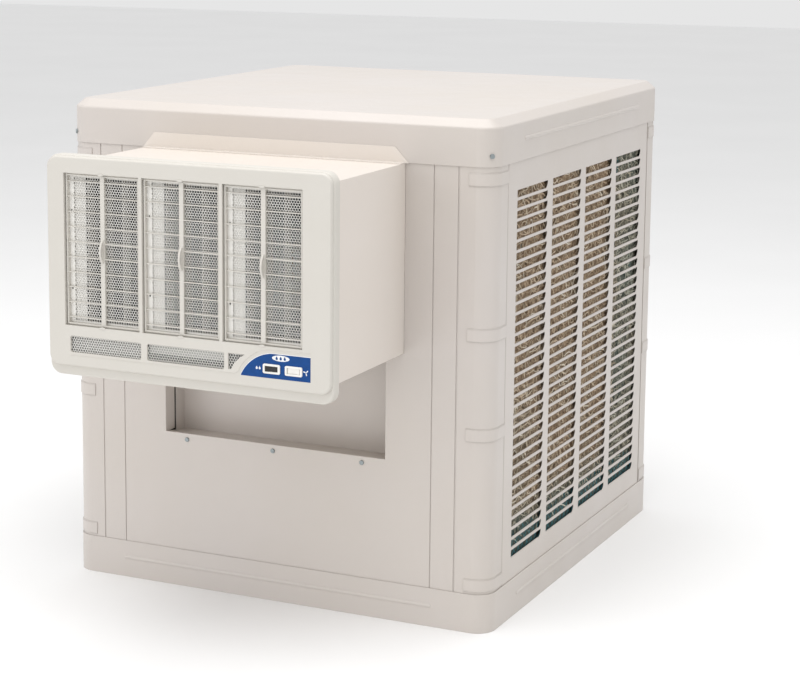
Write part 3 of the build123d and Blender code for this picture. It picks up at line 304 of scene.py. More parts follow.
def metal(name, colour, roughness=0.3, brushed=None, tarnish=None):
    """Turned, ground or plated metal, with tarnish where wanted."""
    r = Recipe(name)
    base = r.ramp(r.noise(40.0, 5.0), [(0.3, scaled(colour, 0.84)), (0.7, colour)])
    if tarnish is not None:
        base = r.mix(r.span(r.noise(26.0, 6.0), 0.0, 0.7, 0.48, 0.72), base, tarnish)
    grain = r.noise(900.0, 3.0, 0.5, brushed)
    r.set(Base_Color=base, Metallic=1.0, Roughness=r.span(grain, roughness - 0.06, roughness + 0.1))
    r.set(Normal=r.bump(grain, 0.00008, r.soft_edges(0.4 * MM), 0.4))
    return r.material


def rubber(name, colour):
    """Matt hose and grommet rubber with a dusty bloom."""
    r = Recipe(name)
    base = r.ramp(r.noise(50.0, 5.0), [(0.35, colour), (0.75, scaled(colour, 2.2))])
    r.set(Base_Color=base, Roughness=r.span(r.noise(90.0), 0.55, 0.75))
    r.set(Normal=r.bump(r.noise(600.0), 0.0001, r.soft_edges(0.5 * MM), 0.5))
    return r.material


def aspen_strands(name):
    """Shaved wood fibre; each strand has its own tint, some carry grey-green water stains, and those low on
    the pad are painted darker as painted shade.
    """
    r = Recipe(name)
    tint = r.attribute("tint")
    dry = r.ramp(tint, [
        (0.0, (0.24, 0.145, 0.08)),
        (0.3, (0.46, 0.33, 0.21)),
        (0.6, (0.62, 0.48, 0.33)),
        (0.85, (0.78, 0.66, 0.49)),
        (1.0, (0.88, 0.80, 0.66)),
    ])
    damp = r.ramp(tint, [
        (0.0, (0.12, 0.14, 0.105)),
        (0.45, (0.34, 0.355, 0.285)),
        (1.0, (0.62, 0.63, 0.53)),
    ])
    # grey-green mixed in per vertex: water stains, and painted shade near the pad's foot
    base = r.mix(r.attribute("damp"), dry, damp)
    grain = r.noise(260.0, 4.0, 0.6)
    base = r.mix(r.span(grain, 0.0, 0.3), base, (0.10, 0.06, 0.03))
    r.set(Base_Color=base, Roughness=r.span(grain, 0.72, 0.95))
    r.set(Normal=r.bump(grain, 0.0004), Sheen_Weight=0.12)
    return r.material


def aspen_core(name):
    """The shadowed body of the pad behind its loose strands, with grey-green water stains, and painted
    shade that makes it darker and teal-grey at its foot.
    """
    r = Recipe(name)
    fleck = r.noise(120.0, 6.0, 0.7, (1.0, 1.0, 2.2))
    dry = r.ramp(fleck, [
        (0.3, (0.10, 0.062, 0.034)),
        (0.5, (0.30, 0.21, 0.13)),
        (0.66, (0.46, 0.35, 0.23)),
        (0.8, (0.58, 0.47, 0.33)),
    ])
    damp = r.ramp(fleck, [
        (0.3, (0.025, 0.045, 0.042)),
        (0.55, (0.10, 0.135, 0.115)),
        (0.8, (0.28, 0.31, 0.26)),
    ])
    # grey-green mixed in per vertex: water stains, and painted shade near the pad's foot
    base = r.mix(r.attribute("damp"), dry, damp)
    r.set(Base_Color=base, Roughness=0.9)
    r.set(Normal=r.bump(fleck, 0.0015))
    return r.material


def spun_net(name):
    """Teal polypropylene netting that holds the fibre."""
    r = Recipe(name)
    base = r.ramp(r.noise(80.0, 3.0), [(0.3, (0.018, 0.13, 0.16)), (0.7, (0.045, 0.26, 0.30))])
    r.set(Base_Color=base, Roughness=r.span(r.noise(300.0), 0.4, 0.6))
    r.set(Normal=r.bump(r.noise(900.0), 0.0001))
    return r.material


def plain_floor(name):
    """The pale studio floor."""
    r = Recipe(name)
    base = r.ramp(r.noise(1.5, 3.0), [(0.3, (0.90, 0.90, 0.90)), (0.7, (0.92, 0.92, 0.92))])
    r.set(Base_Color=base, Roughness=0.7, Normal=r.bump(r.noise(60.0), 0.0002))
    return r.material


MATERIALS = {
    "cabinet_enamel": enamel("cabinet_enamel", (0.585, 0.540, 0.508), (0.572, 0.524, 0.480)),
    "duct_enamel": enamel("duct_enamel", (0.715, 0.660, 0.610), (0.70, 0.64, 0.58), 0.34, "duct_sleeve"),
    "grille_plastic": moulded_plastic("grille_plastic", (0.61, 0.583, 0.535), (0.595, 0.567, 0.517)),
    "screen_plastic": moulded_plastic("screen_plastic", (0.84, 0.825, 0.79), (0.82, 0.80, 0.76), 0.45),
    "badge_blue": printed_film("badge_blue", (0.0, 0.052, 0.22)),
    "switch_white": moulded_plastic("switch_white", (0.84, 0.82, 0.78), (0.82, 0.80, 0.75), 0.28),
    "switch_black": moulded_plastic("switch_black", (0.012, 0.012, 0.013), (0.02, 0.02, 0.02), 0.22),
    "galvanised_sheet": galvanised("galvanised_sheet"),
    "aspen_fibre": aspen_core("aspen_fibre"),
    "zinc_screw": metal("zinc_screw", (0.36, 0.40, 0.41), 0.36),
    "motor_paint": enamel("motor_paint", (0.022, 0.024, 0.03), (0.03, 0.032, 0.036), 0.42),
    "steel_shaft": metal("steel_shaft", (0.56, 0.56, 0.57), 0.25, (0.05, 6.0, 6.0)),
    "pump_plastic": moulded_plastic("pump_plastic", (0.052, 0.062, 0.085), (0.07, 0.08, 0.10), 0.4),
    "hose_rubber": rubber("hose_rubber", (0.015, 0.015, 0.017)),
    "brass": metal("brass", (0.66, 0.44, 0.15), 0.28, None, (0.20, 0.13, 0.06)),
    "overflow_plastic": moulded_plastic("overflow_plastic", (0.66, 0.66, 0.63), (0.6, 0.6, 0.56), 0.4),
}
STRANDS = aspen_strands("aspen_strands")
NET = spun_net("spun_net")
SILK_WHITE = printed_film("printed_white", (0.80, 0.81, 0.82))
# painted shade: a black matt plate that stands for the dark inside of small holes
HOLE_SHADE = rubber("dark_hole", (0.01, 0.01, 0.01))
BAFFLE_GREY = moulded_plastic("baffle_grey", (0.33, 0.32, 0.30), (0.36, 0.35, 0.33), 0.5)
BAFFLE_PALE = moulded_plastic("baffle_pale", (0.50, 0.49, 0.46), (0.46, 0.45, 0.42), 0.5)
FLOOR = plain_floor("studio_floor")


def coat_cad_nodes():
    """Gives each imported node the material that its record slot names."""
    for part in frame["record"]["subparts"]:
        mesh = frame["nodes"][part["node"]].data
        mesh.materials.clear()
        mesh.materials.append(MATERIALS[part["material_slot"]])


# ---------------------------------------------------------------- mesh helpers
def make_piece(name, verts, faces, material, body, smooth=None):
    """A mesh object that rides on a CAD body; smooth is the largest angle shaded smooth, in degrees."""
    mesh = bpy.data.meshes.new(name)
    mesh.from_pydata([tuple(v) for v in verts], [], [tuple(f) for f in faces])
    mesh.validate()
    mesh.materials.append(material)
    piece = bpy.data.objects.new(name, mesh)
    bpy.context.scene.collection.objects.link(piece)
    if smooth is not None:
        mesh.shade_smooth()
        mesh.set_sharp_from_angle(angle=math.radians(smooth))
    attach(piece, body)
    return piece


def thicken(piece, thickness):
    """Turns a single-sided sheet into a closed one, growing behind its front face."""
    solid = piece.modifiers.new("thickness", "SOLIDIFY")
    solid.thickness = thickness
    solid.offset = -1.0
    solid.use_even_offset = False


class Shell:
    """Collects vertices, shared where they meet, and faces."""

    def __init__(self):
        self.verts = []
        self.faces = []
        self.known = {}

    def point(self, where):
        key = tuple(round(c * 1e6) for c in where)
        if key not in self.known:
            self.known[key] = len(self.verts)
            self.verts.append(tuple(where))
        return self.known[key]

    def face(self, *places):
        corners = []
        for place in places:
            index = self.point(place)
            if index not in corners:
                corners.append(index)
        if len(corners) > 2:
            self.faces.append(tuple(corners))


def swept_tube(points, outward, half_width, half_depth, sides):
    """Vertices and faces of a thin tube along points; half_depth is measured towards outward."""
    points = np.asarray(points, float)
    count = len(points)
    ahead = np.gradient(points, axis=0)
    ahead /= np.linalg.norm(ahead, axis=1)[:, None]
    across = np.cross(ahead, np.array(outward, float))
    across /= np.linalg.norm(across, axis=1)[:, None]
    up = np.cross(across, ahead)
    verts = []
    for i in range(count):
        for k in range(sides):
            turn = 2 * math.pi * k / sides
            verts.append(points[i] + across[i] * math.cos(turn) * half_width
                         + up[i] * math.sin(turn) * half_depth)
    faces = []
    for i in range(count - 1):
        here, there = i * sides, (i + 1) * sides
        for k in range(sides):
            m = (k + 1) % sides
            faces.append((here + k, there + k, there + m, here + m))
    faces.append(tuple(range(sides - 1, -1, -1)))
    faces.append(tuple((count - 1) * sides + k for k in range(sides)))
    return verts, faces


def join_parts(parts):
    """One vertex and face list from several."""
    verts, faces = [], []
    for part_verts, part_faces in parts:
        start = len(verts)
        verts.extend(part_verts)
        faces.extend(tuple(i + start for i in face) for face in part_faces)
    return verts, faces


def rectangle(x0, x1, z0, z1):
    """The outline of an upright rectangle, for flat_prism."""
    return [(x0, z0), (x1, z0), (x1, z1), (x0, z1)]


# ---------------------------------------------------------------- perforated screens
def honeycomb(shell, x0, x1, z0, z1, y):
    """Hexagon tiles with a hexagon hole each, over a rectangle in the XZ plane at depth y."""
    row_step = SCREEN_PITCH * math.sqrt(0.75)
    rows = int((z1 - z0) / row_step)
    columns = int((x1 - x0) / SCREEN_PITCH)
    tile = SCREEN_PITCH / math.sqrt(3)
    first_x = (x0 + x1 - (columns - 0.5) * SCREEN_PITCH) / 2
    first_z = (z0 + z1 - (rows - 1) * row_step) / 2
    corners = [(math.sin(math.pi * k / 3), math.cos(math.pi * k / 3)) for k in range(6)]
    for row in range(rows):
        z = first_z + row * row_step
        for column in range(columns):
            x = first_x + (column + 0.5 * (row % 2)) * SCREEN_PITCH
            for k in range(6):
                (a, b), (c, d) = corners[k], corners[(k + 1) % 6]
                shell.face(
                    (x + a * tile, y, z + b * tile), (x + a * SCREEN_HOLE, y, z + b * SCREEN_HOLE),
                    (x + c * SCREEN_HOLE, y, z + d * SCREEN_HOLE), (x + c * tile, y, z + d * tile),
                )


def plain_border(shell, low, high, inner, y):
    """Four plain strips round a screen, from its outline in to inner = (x0, x1, z0, z1), at depth y."""
    x0, x1, z0, z1 = inner
    strips = (
        (low.x, x0, low.z, high.z), (x1, high.x, low.z, high.z), (x0, x1, low.z, z0), (x0, x1, z1, high.z),
    )
    for strip in strips:
        shell.face(*[(x, y, z) for x, z in rectangle(*strip)])


def fine_screen(place, low, high):
    """A cartridge's perforated screen, with a plain border behind its edges that is widest at the left."""
    shell = Shell()
    inner = (low.x + SCREEN_MARGIN, high.x - SCREEN_EDGE, low.z + SCREEN_EDGE, high.z - SCREEN_EDGE)
    honeycomb(
        shell, inner[0] - SCREEN_INSET, high.x - SCREEN_INSET, low.z + SCREEN_INSET, high.z - SCREEN_INSET,
        low.y,
    )
    plain_border(shell, low, high, inner, low.y + SCREEN_THICKNESS * 1.5)
    piece = make_piece(
        f"fine_screen_{place}", shell.verts, shell.faces, MATERIALS["screen_plastic"],
        f"cartridge_{place}",
    )
    thicken(piece, SCREEN_THICKNESS)
    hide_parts(f"cartridge_screen_{place}")


def edge_lips(place):
    """Narrow lips round a cartridge's frame, which leave only a hairline gap to the grille."""
    low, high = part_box(f"cartridge_frame_{place}")
    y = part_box(f"cartridge_screen_{place}")[0].y - SCREEN_SETBACK + LIP_SETBACK
    x0, x1, z0, z1 = low.x, high.x, low.z + PIVOT_REACH, high.z - PIVOT_REACH
    lips = [
        rectangle(x0 - LIP_WIDTH, x0, z0 - LIP_HEIGHT, z1 + LIP_HEIGHT),
        rectangle(x1, x1 + LIP_WIDTH, z0 - LIP_HEIGHT, z1 + LIP_HEIGHT),
        rectangle(x0, x1, z0 - LIP_HEIGHT, z0),
        rectangle(x0, x1, z1, z1 + LIP_HEIGHT),
    ]
    flat_prism(
        f"edge_lips_{place}", lips, y, y + 0.8 * MM, MATERIALS["grille_plastic"], f"cartridge_{place}",
    )


def pale_cheek(place, low, high):
    """The pale side of the cartridge that shows through the left of its screen."""
    cheek = rectangle(low.x + CHEEK_START, low.x + CHEEK_END, low.z, high.z)
    flat_prism(
        f"pale_cheek_{place}", [cheek], low.y + 3.2 * MM, low.y + 4.2 * MM, MATERIALS["screen_plastic"],
        f"cartridge_{place}",
    )


def latch_hole_shade(place, low, high):
    """Two small black ovals in the plain border at the screen's left: painted shade in place of two small
    holes.
    """
    holes = []
    for share in (0.24, 0.77):
        z = high.z - share * (high.z - low.z)
        holes.append(ellipse(low.x + LATCH_HOLE_IN, z, 1.0 * MM, 1.7 * MM, 16))
    # black plates as painted shade, in place of real holes
    flat_prism(
        f"latch_holes_{place}", holes, low.y + 0.6 * MM, low.y + 1.2 * MM, HOLE_SHADE,
        f"cartridge_{place}",
    )


def cell_screens():
    """The screen and the small pieces of each swivelling cartridge."""
    for place in ("left", "centre", "right"):
        low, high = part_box(f"cartridge_screen_{place}")
        fine_screen(place, low, high)
        edge_lips(place)
        pale_cheek(place, low, high)
        latch_hole_shade(place, low, high)


def window_screens():
    """The fine strips behind the lower windows, as one sheet."""
    low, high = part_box("lower_screen")
    shell = Shell()
    honeycomb(shell, low.x, high.x, low.z, high.z, low.y)
    piece = make_piece(
        "fine_window_screen", shell.verts, shell.faces, MATERIALS["screen_plastic"], "cabinet",
    )
    thicken(piece, SCREEN_THICKNESS)
    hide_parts("lower_screen")


def window_baffles():
    """Closing plates: a grey one behind the first window, a pale one behind the top of the second."""
    low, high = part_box("lower_screen")
    grey = rectangle(low.x + 1 * MM, GREY_BAFFLE_END, low.z, high.z)
    pale = rectangle(*PALE_BAFFLE, low.z + PALE_BAFFLE_FOOT * (high.z - low.z), high.z)
    front = high.y + BAFFLE_GAP
    back = front + BAFFLE_SHEET
    flat_prism("grey_baffle", [grey], front, back, BAFFLE_GREY, "cabinet")
    flat_prism("pale_baffle", [pale], front, back, BAFFLE_PALE, "cabinet")


# ---------------------------------------------------------------- louvred panels and pads
class Side:
    """One pad side of the cabinet: u runs to the right of someone facing it, n points at them."""

    def __init__(self, name):
        self.name = name
        low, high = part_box(f"louvre_panel_{name}")
        if name == "right":
            self.skin, self.half = high.x, (high.y - low.y) / 2
        elif name == "left":
            self.skin, self.half = -low.x, (high.y - low.y) / 2
        else:
            self.skin, self.half = high.y, (high.x - low.x) / 2
        self.low, self.high = low.z, high.z
        self.body = f"panel_{name}"
        self.column = COLUMN_WIDTHS[name]

    def at(self, u, z, n):
        """The place in the row frame of u across, z up and n outward from the skin."""
        out = self.skin + n
        return {"right": (out, u, z), "rear": (-u, out, z), "left": (-out, -u, z)}[self.name]

    def outward(self):
        return {"right": (1, 0, 0), "rear": (0, 1, 0), "left": (-1, 0, 0)}[self.name]


def slot_loops(width):
    """The edge of one louvre slot and the tile border outside it, as matching lists of (u, z, n)."""
    half, rise = width / 2, SLOT_HEIGHT / 2
    edge, mid = (width + COLUMN_GAP) / 2, SLOT_PITCH / 2
    # the rib below the slot leans back at its top, and the rib above it stands out at its foot
    lift, sink = 0.5 * MM, -1.0 * MM
    hole, border = [], []

    def add(u, z, n, border_u, border_z):
        hole.append((u, z, n))
        border.append((border_u, border_z, 0.0))

    start = -half + SLOT_CORNER
    foot = [start, -half + SLOT_RAMP, -half * 0.4, half * 0.3, half - 13 * MM, half - 7 * MM]
    for u in foot:
        add(u, -rise, 0.0 if u in (foot[0], foot[-1]) else sink, u, -mid)
    add(half - 2.4 * MM, -2.4 * MM, 0.0, edge, -mid)
    add(half, 1.6 * MM, 0.0, edge, 0.0)
    add(half, rise - 1 * MM, 0.0, edge, mid)
    top = [half - SLOT_CORNER, half - SLOT_RAMP, half * 0.3, -half * 0.4, -half + SLOT_RAMP, start]
    for u in top:
        add(u, rise, 0.0 if u in (top[0], top[-1]) else lift, u, mid)
    add(-half, rise - 1 * MM, 0.0, -edge, mid)
    add(-half, 0.0, 0.0, -edge, 0.0)
    add(-half, -rise + 1 * MM, 0.0, -edge, -mid)
    return hole, border


def panel_rim(shell, side, across, heights):
    """The flat margin round the slots, the rounded edge and the folded sides of the tray."""
    loops = [(across[-1], heights[0], heights[-1], 0.0)]
    for inset, depth in ((2.4 * MM, 0.0), (0.9 * MM, 0.5 * MM), (0.2 * MM, 1.6 * MM), (0.0, 3.2 * MM),
                         (0.0, PANEL_FOLD)):
        loops.append((side.half - inset, side.low + inset, side.high - inset, -depth))
    rings = []
    for half, low, high, depth in loops:
        us = [-half] + across[1:-1] + [half]
        zs = [low] + heights[1:-1] + [high]
        ring = [(u, low) for u in us] + [(half, z) for z in zs[1:]]
        ring += [(u, high) for u in reversed(us[:-1])] + [(-half, z) for z in reversed(zs[1:-1])]
        rings.append([side.at(u, z, depth) for u, z in ring])
    for inner, outer in zip(rings, rings[1:]):
        for i in range(len(inner)):
            j = (i + 1) % len(inner)
            shell.face(inner[i], outer[i], outer[j], inner[j])


def louvred_panel(side):
    """The pressed panel: ribs between the slots lean back at the top, so they catch light from above."""
    shell = Shell()
    pitch_u = side.column + COLUMN_GAP
    first_z = SLOT_BOTTOM + SLOT_HEIGHT / 2
    across = set()
    heights = set()
    hole, border = slot_loops(side.column)
    for row in range(SLOT_ROWS):
        z0 = first_z + row * SLOT_PITCH
        for column in range(SLOT_COLUMNS):
            u0 = (column - (SLOT_COLUMNS - 1) / 2) * pitch_u
            inside = [side.at(u0 + u, z0 + z, n) for u, z, n in hole]
            lip = [side.at(u0 + u, z0 + z, n - SLOT_LIP) for u, z, n in hole]
            outside = [side.at(u0 + u, z0 + z, n) for u, z, n in border]
            for i in range(len(hole)):
                j = (i + 1) % len(hole)
                shell.face(inside[i], outside[i], outside[j], inside[j])
                shell.face(lip[i], inside[i], inside[j], lip[j])
            if row in (0, SLOT_ROWS - 1):
                for u, z, n in border:
                    if (row == 0) == (z < 0) and abs(z) > SLOT_PITCH * 0.49:
                        across.add(round(u0 + u, 7))
            if column in (0, SLOT_COLUMNS - 1):
                heights.update(round(z0 + z, 7) for u, z, n in border if abs(u) > pitch_u * 0.499)
    panel_rim(shell, side, sorted(across), sorted(heights))
    piece = make_piece(
        f"formed_panel_{side.name}", shell.verts, shell.faces, MATERIALS["cabinet_enamel"], side.body,
    )
    thicken(piece, PANEL_SHEET)
    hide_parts(f"louvre_panel_{side.name}")


def smooth_step(value, low, high):
    """0 below low, 1 above high, and a smooth rise between them."""
    t = np.clip((value - low) / (high - low), 0.0, 1.0)
    return t * t * (3 - 2 * t)


def damp_and_foot_shade(side, u, z):
    """How grey-green and dark the pad is painted: water stains towards one end, and painted shade near its
    foot.
    """
    end = 0.78 * smooth_step(u, side.half * 0.42, side.half * 0.62)
    waves = 0.16 * np.sin(u * 37 + z * 11) * np.sin(z * 23 - u * 9)
    # painted shade: darker and teal-grey towards the pad's foot
    foot = smooth_step(-z, -SHADED_FOOT[1], -SHADED_FOOT[0])
    start = 0.35 * smooth_step(-u, side.half * 0.55, side.half * 0.8) * smooth_step(-z, -0.42, -0.2)
    return np.clip(np.maximum(np.maximum(end, foot), start) + waves, 0.0, 1.0)


def add_float_attribute(piece, name, values):
    """One number for each vertex, which a material reads by its name."""
    attribute = piece.data.attributes.new(name, "FLOAT", "POINT")
    attribute.data.foreach_set("value", np.asarray(values, np.float32))


def bumpy(u, z):
    """A lumpy surface between 0 and 1, from a few crossing waves."""
    total = np.sin(u * 61 + 1.3 * np.sin(z * 47)) * np.sin(z * 71 + 1.1 * np.sin(u * 53))
    total = total + 0.6 * np.sin(u * 170 + z * 90) * np.sin(z * 150 - u * 60)
    total = total + 0.4 * np.sin(u * 410 - z * 230) * np.sin(z * 380 + u * 120)
    return 0.5 + total / 4.0


def pad_core(side):
    """The pad's body: a lumpy block with rounded edges."""
    low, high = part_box(f"pad_{side.name}")
    half = side.half - PAD_PLAY
    count_u, count_z = 96, 110
    us = np.linspace(-half, half, count_u)
    zs = np.linspace(low.z, high.z, count_z)
    verts, damp = [], []
    for layer, sign in ((-PAD_FACE_DEPTH, 1), (-PAD_BACK_DEPTH, -1)):
        for z in zs:
            edge_z = min(z - low.z, high.z - z)
            for u in us:
                edge = min(edge_z, half - abs(u))
                rounding = PAD_ROUNDING * (1 - min(1.0, edge / PAD_ROUND_RUN)) ** 2
                n = layer - sign * (rounding + PAD_LUMPS * (1 - bumpy(u, z)))
                verts.append(side.at(u, z, n))
                damp.append(float(damp_and_foot_shade(side, u, z)))
    faces = []
    size = count_u * count_z

    def index(layer, i, j):
        return layer * size + j * count_u + i

    for j in range(count_z - 1):
        for i in range(count_u - 1):
            corners = ((i, j), (i + 1, j), (i + 1, j + 1), (i, j + 1))
            faces.append(tuple(index(0, *corner) for corner in corners))
            faces.append(tuple(index(1, *corner) for corner in reversed(corners)))
    rim = [(i, 0) for i in range(count_u)]
    rim += [(count_u - 1, j) for j in range(1, count_z)]
    rim += [(i, count_z - 1) for i in range(count_u - 2, -1, -1)]
    rim += [(0, j) for j in range(count_z - 2, 0, -1)]
    for (i, j), (k, m) in zip(rim, rim[1:] + rim[:1]):
        faces.append((index(1, i, j), index(1, k, m), index(0, k, m), index(0, i, j)))
    piece = make_piece(
        f"fibre_pad_{side.name}", verts, faces, MATERIALS["aspen_fibre"], side.body, 80,
    )
    add_float_attribute(piece, "damp", damp)
    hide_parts(f"pad_{side.name}")


def pad_strands(side):
    """Loose curled strands over the pad's outer face."""
    rng = random.Random(f"strands {side.name}")
    half = side.half - 12 * MM
    foot, crest = BARE_PAD_HEIGHT - 8 * MM, side.high - 4 * MM
    parts, tints, damp_and_shade_values = [], [], []
    for _ in range(STRANDS_PER_PAD):
        u = rng.uniform(-half, half)
        z = rng.uniform(BARE_PAD_HEIGHT - 4 * MM, side.high - 12 * MM)
        if z < BARE_PAD_HEIGHT + 14 * MM and rng.random() < 0.6:
            continue
        heading = rng.gauss(0.0, 0.75)
        length = rng.uniform(18, 62) * MM
        curl = rng.gauss(0.0, 1.1)
        depth = -rng.uniform(3.0, 6.2) * MM
        lean = rng.gauss(0.0, 1.2) * MM
        points = []
        for k in range(STRAND_STEPS):
            t = k / (STRAND_STEPS - 1) - 0.5
            angle = heading + curl * t
            points.append((u + length * t * math.cos(angle), z + length * t * math.sin(angle),
                           min(-2.6 * MM, depth + lean * t * 2 + 1.0 * MM * math.sin(6.0 * t + curl))))
        drop_by = max(0.0, max(b for a, b, c in points) - crest)
        points = [side.at(min(half, max(-half, a)), max(foot, b - drop_by), c) for a, b, c in points]
        width = rng.uniform(0.45, 1.25) * MM
        verts, faces = swept_tube(points, side.outward(), width, STRAND_HALF_DEPTH, 3)
        parts.append((verts, faces))
        tint = min(1.0, max(0.0, rng.gauss(0.55, 0.23)))
        tints.extend([tint] * len(verts))
        wet_and_shade = min(1.0, max(0.0, float(damp_and_foot_shade(side, u, z)) + rng.gauss(0.0, 0.12)))
        damp_and_shade_values.extend([wet_and_shade] * len(verts))
    verts, faces = join_parts(parts)
    piece = make_piece(f"pad_strands_{side.name}", verts, faces, STRANDS, side.body, 70)
    add_float_attribute(piece, "tint", tints)
    add_float_attribute(piece, "damp", damp_and_shade_values)


def pad_net(side):
    """The net round the pad. It sinks between the strands and stands clear at the pad's foot."""
    rng = random.Random(f"net {side.name}")
    half = side.half - 9 * MM
    low, high = side.low + 12 * MM, side.high - 10 * MM
    parts = []

    def depth(u, z):
        """How far out the net lies: sunk among the strands, clear of them at the foot and in one patch."""
        foot = float(smooth_step(-z, -0.135, -0.108))
        patch = math.exp(-((u - side.half * 0.53) / 0.022) ** 2 - ((z - 0.634) / 0.014) ** 2)
        return (-8.4 + 5.2 * max(foot, patch) + 0.5 * math.sin(u * 130) * math.sin(z * 110)) * MM

    def strand(start, end):
        steps = max(6, int(math.dist(start, end) / (9 * MM)))
        points = []
        for k in range(steps + 1):
            u = start[0] + (end[0] - start[0]) * k / steps + rng.gauss(0, 0.35) * MM
            z = start[1] + (end[1] - start[1]) * k / steps + rng.gauss(0, 0.35) * MM
            points.append(side.at(u, z, depth(u, z)))
        parts.append(swept_tube(points, side.outward(), NET_RADIUS, NET_RADIUS, 4))

    rise = high - low
    start = -half - rise
    while start < half:
        for slope in (1, -1):
            ends = []
            for u, z in ((start, low), (start + rise, high)):
                u_in = min(half, max(-half, u))
                ends.append((u_in * slope, low + (u_in - start)))
            if ends[1][1] - ends[0][1] > 20 * MM:
                strand(*ends)
        start += NET_PITCH * math.sqrt(2)
    verts, faces = join_parts(parts)
    make_piece(f"pad_net_{side.name}", verts, faces, NET, side.body, 60)


def pad_sides():
    """The three pad sides, each with its pressed panel, pad, loose strands and net."""
    for name in ("right", "rear", "left"):
        side = Side(name)
        louvred_panel(side)
        pad_core(side)
        pad_strands(side)
        pad_net(side)


# ---------------------------------------------------------------- badge and icons
def flat_prism(name, outlines, y_front, y_back, material, body):
    """Plates cut to outlines of (x, z) points, from a front depth to a back depth."""
    parts = []
    for outline in outlines:
        count = len(outline)
        verts = [(x, y_front, z) for x, z in outline] + [(x, y_back, z) for x, z in outline]
        faces = [tuple(range(count)), tuple(range(2 * count - 1, count - 1, -1))]
        faces += [(i, i + count, (i + 1) % count + count, (i + 1) % count) for i in range(count)]
        parts.append((verts, faces))
    verts, faces = join_parts(parts)
    return make_piece(name, verts, faces, material, body)


def ellipse(x, z, wide, tall, count=28):
    """An ellipse's outline about (x, z); wide and tall are its half-widths."""
    return [(x + wide * math.cos(2 * math.pi * k / count), z + tall * math.sin(2 * math.pi * k / count))
            for k in range(count)]


def drop(x, z, size, count=24):
    """A water drop: round below, pointed at the top."""
    outline = []
    for k in range(count):
        turn = 2 * math.pi * k / count
        pinch = (0.5 + 0.5 * math.sin(turn)) ** 3
        outline.append((x + size * math.cos(turn) * (1 - pinch), z + size * (math.sin(turn) + 0.9 * pinch)))
    return outline


def fan_blades(x, z, size):
    """Three rounded blades round a hub."""
    shapes = [ellipse(x, z, size * 0.22, size * 0.22, 12)]
    for k in range(3):
        turn = 2 * math.pi * k / 3 + 0.5
        blade = []
        for along, across in ellipse(size * 0.62, 0.0, size * 0.4, size * 0.22, 16):
            bend = across + along * 0.25
            blade.append((x + along * math.cos(turn) - bend * math.sin(turn),
                          z + along * math.sin(turn) + bend * math.cos(turn)))
        shapes.append(blade)
    return shapes


def badge_marks():
    """A plain drop mark and two plain icons, raised a little from the badge."""
    low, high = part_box("control_badge")
    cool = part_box("switch_body_cool")
    face = low.y
    proud = 0.12 * MM
    icon_reach = 18.6 * MM
    cool_x = (cool[0].x + cool[1].x) / 2
    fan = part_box("switch_body_fan")
    fan_x = (fan[0].x + fan[1].x) / 2
    middle_z = (cool[0].z + cool[1].z) / 2
    mark_x, mark_z = (cool_x + fan_x) / 2 - 3 * MM, high.z - 5.4 * MM
    white = [ellipse(mark_x, mark_z, 13.5 * MM, 4.2 * MM)]
    white += [drop(cool_x - icon_reach - k * 4.6 * MM, middle_z - 0.6 * MM, 1.7 * MM) for k in range(2)]
    white += fan_blades(fan_x + icon_reach, middle_z, 4.2 * MM)
    flat_prism("badge_marks", white, face - proud, face + 0.2 * MM, SILK_WHITE, "cabinet")
    blue = [drop(mark_x + k * 6.2 * MM, mark_z - 0.5 * MM, 1.9 * MM) for k in (-1, 0, 1)]
    flat_prism("badge_drops", blue, face - 2 * proud, face, MATERIALS["badge_blue"], "cabinet")


# ---------------------------------------------------------------- small trim
def bead(name, path, material):
    """A round bead of the cabinet along a path."""
    verts, faces = swept_tube(path, (0, -1, 0), BEAD_RADIUS, BEAD_RADIUS, 8)
    make_piece(name, verts, faces, material, "cabinet", 50)


def arc_through(start, middle, end, steps=24):
    """Points on the circle arc that runs from start over middle to end, in the XZ plane."""
    (ax, az), (bx, bz), (cx, cz) = start, middle, end
    twice = 2 * (ax * (bz - cz) + bx * (cz - az) + cx * (az - bz))
    a, b, c = ax * ax + az * az, bx * bx + bz * bz, cx * cx + cz * cz
    centre_x = (a * (bz - cz) + b * (cz - az) + c * (az - bz)) / twice
    centre_z = (a * (cx - bx) + b * (ax - cx) + c * (bx - ax)) / twice
    radius = math.hypot(ax - centre_x, az - centre_z)
    first = math.atan2(az - centre_z, ax - centre_x)
    last = math.atan2(cz - centre_z, cx - centre_x)
    turns = [first + (last - first) * k / steps for k in range(steps + 1)]
    return [(centre_x + radius * math.cos(turn), centre_z + radius * math.sin(turn)) for turn in turns]


def badge_arc(outset):
    """The badge's curved left end, moved out by outset, from its foot up to its top edge."""
    low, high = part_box("control_badge")
    middle = (low.x + 18 * MM - 0.8 * outset, low.z + 22.5 * MM + 0.8 * outset)
    return arc_through((low.x - outset, low.z), middle, (low.x + BADGE_ARC_RUN, high.z + outset))


def grille_bead():
    """A fine bead that runs under the windows, up round the badge's curved end and along its top."""
    badge_low, badge_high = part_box("control_badge")
    screen_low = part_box("lower_screen")[0]
    y = badge_low.y
    foot = badge_low.z + 1.0 * MM
    arc = [(x, y, z) for x, z in badge_arc(BEAD_OUTSET) if z > foot + 2 * MM]
    path = [(screen_low.x + 2 * MM, y, foot), (0.0, y, foot), (arc[0][0] - 6 * MM, y, foot)] + arc
    path.append((badge_high.x, y, arc[-1][2]))
    bead("grille_bead", path, MATERIALS["grille_plastic"])


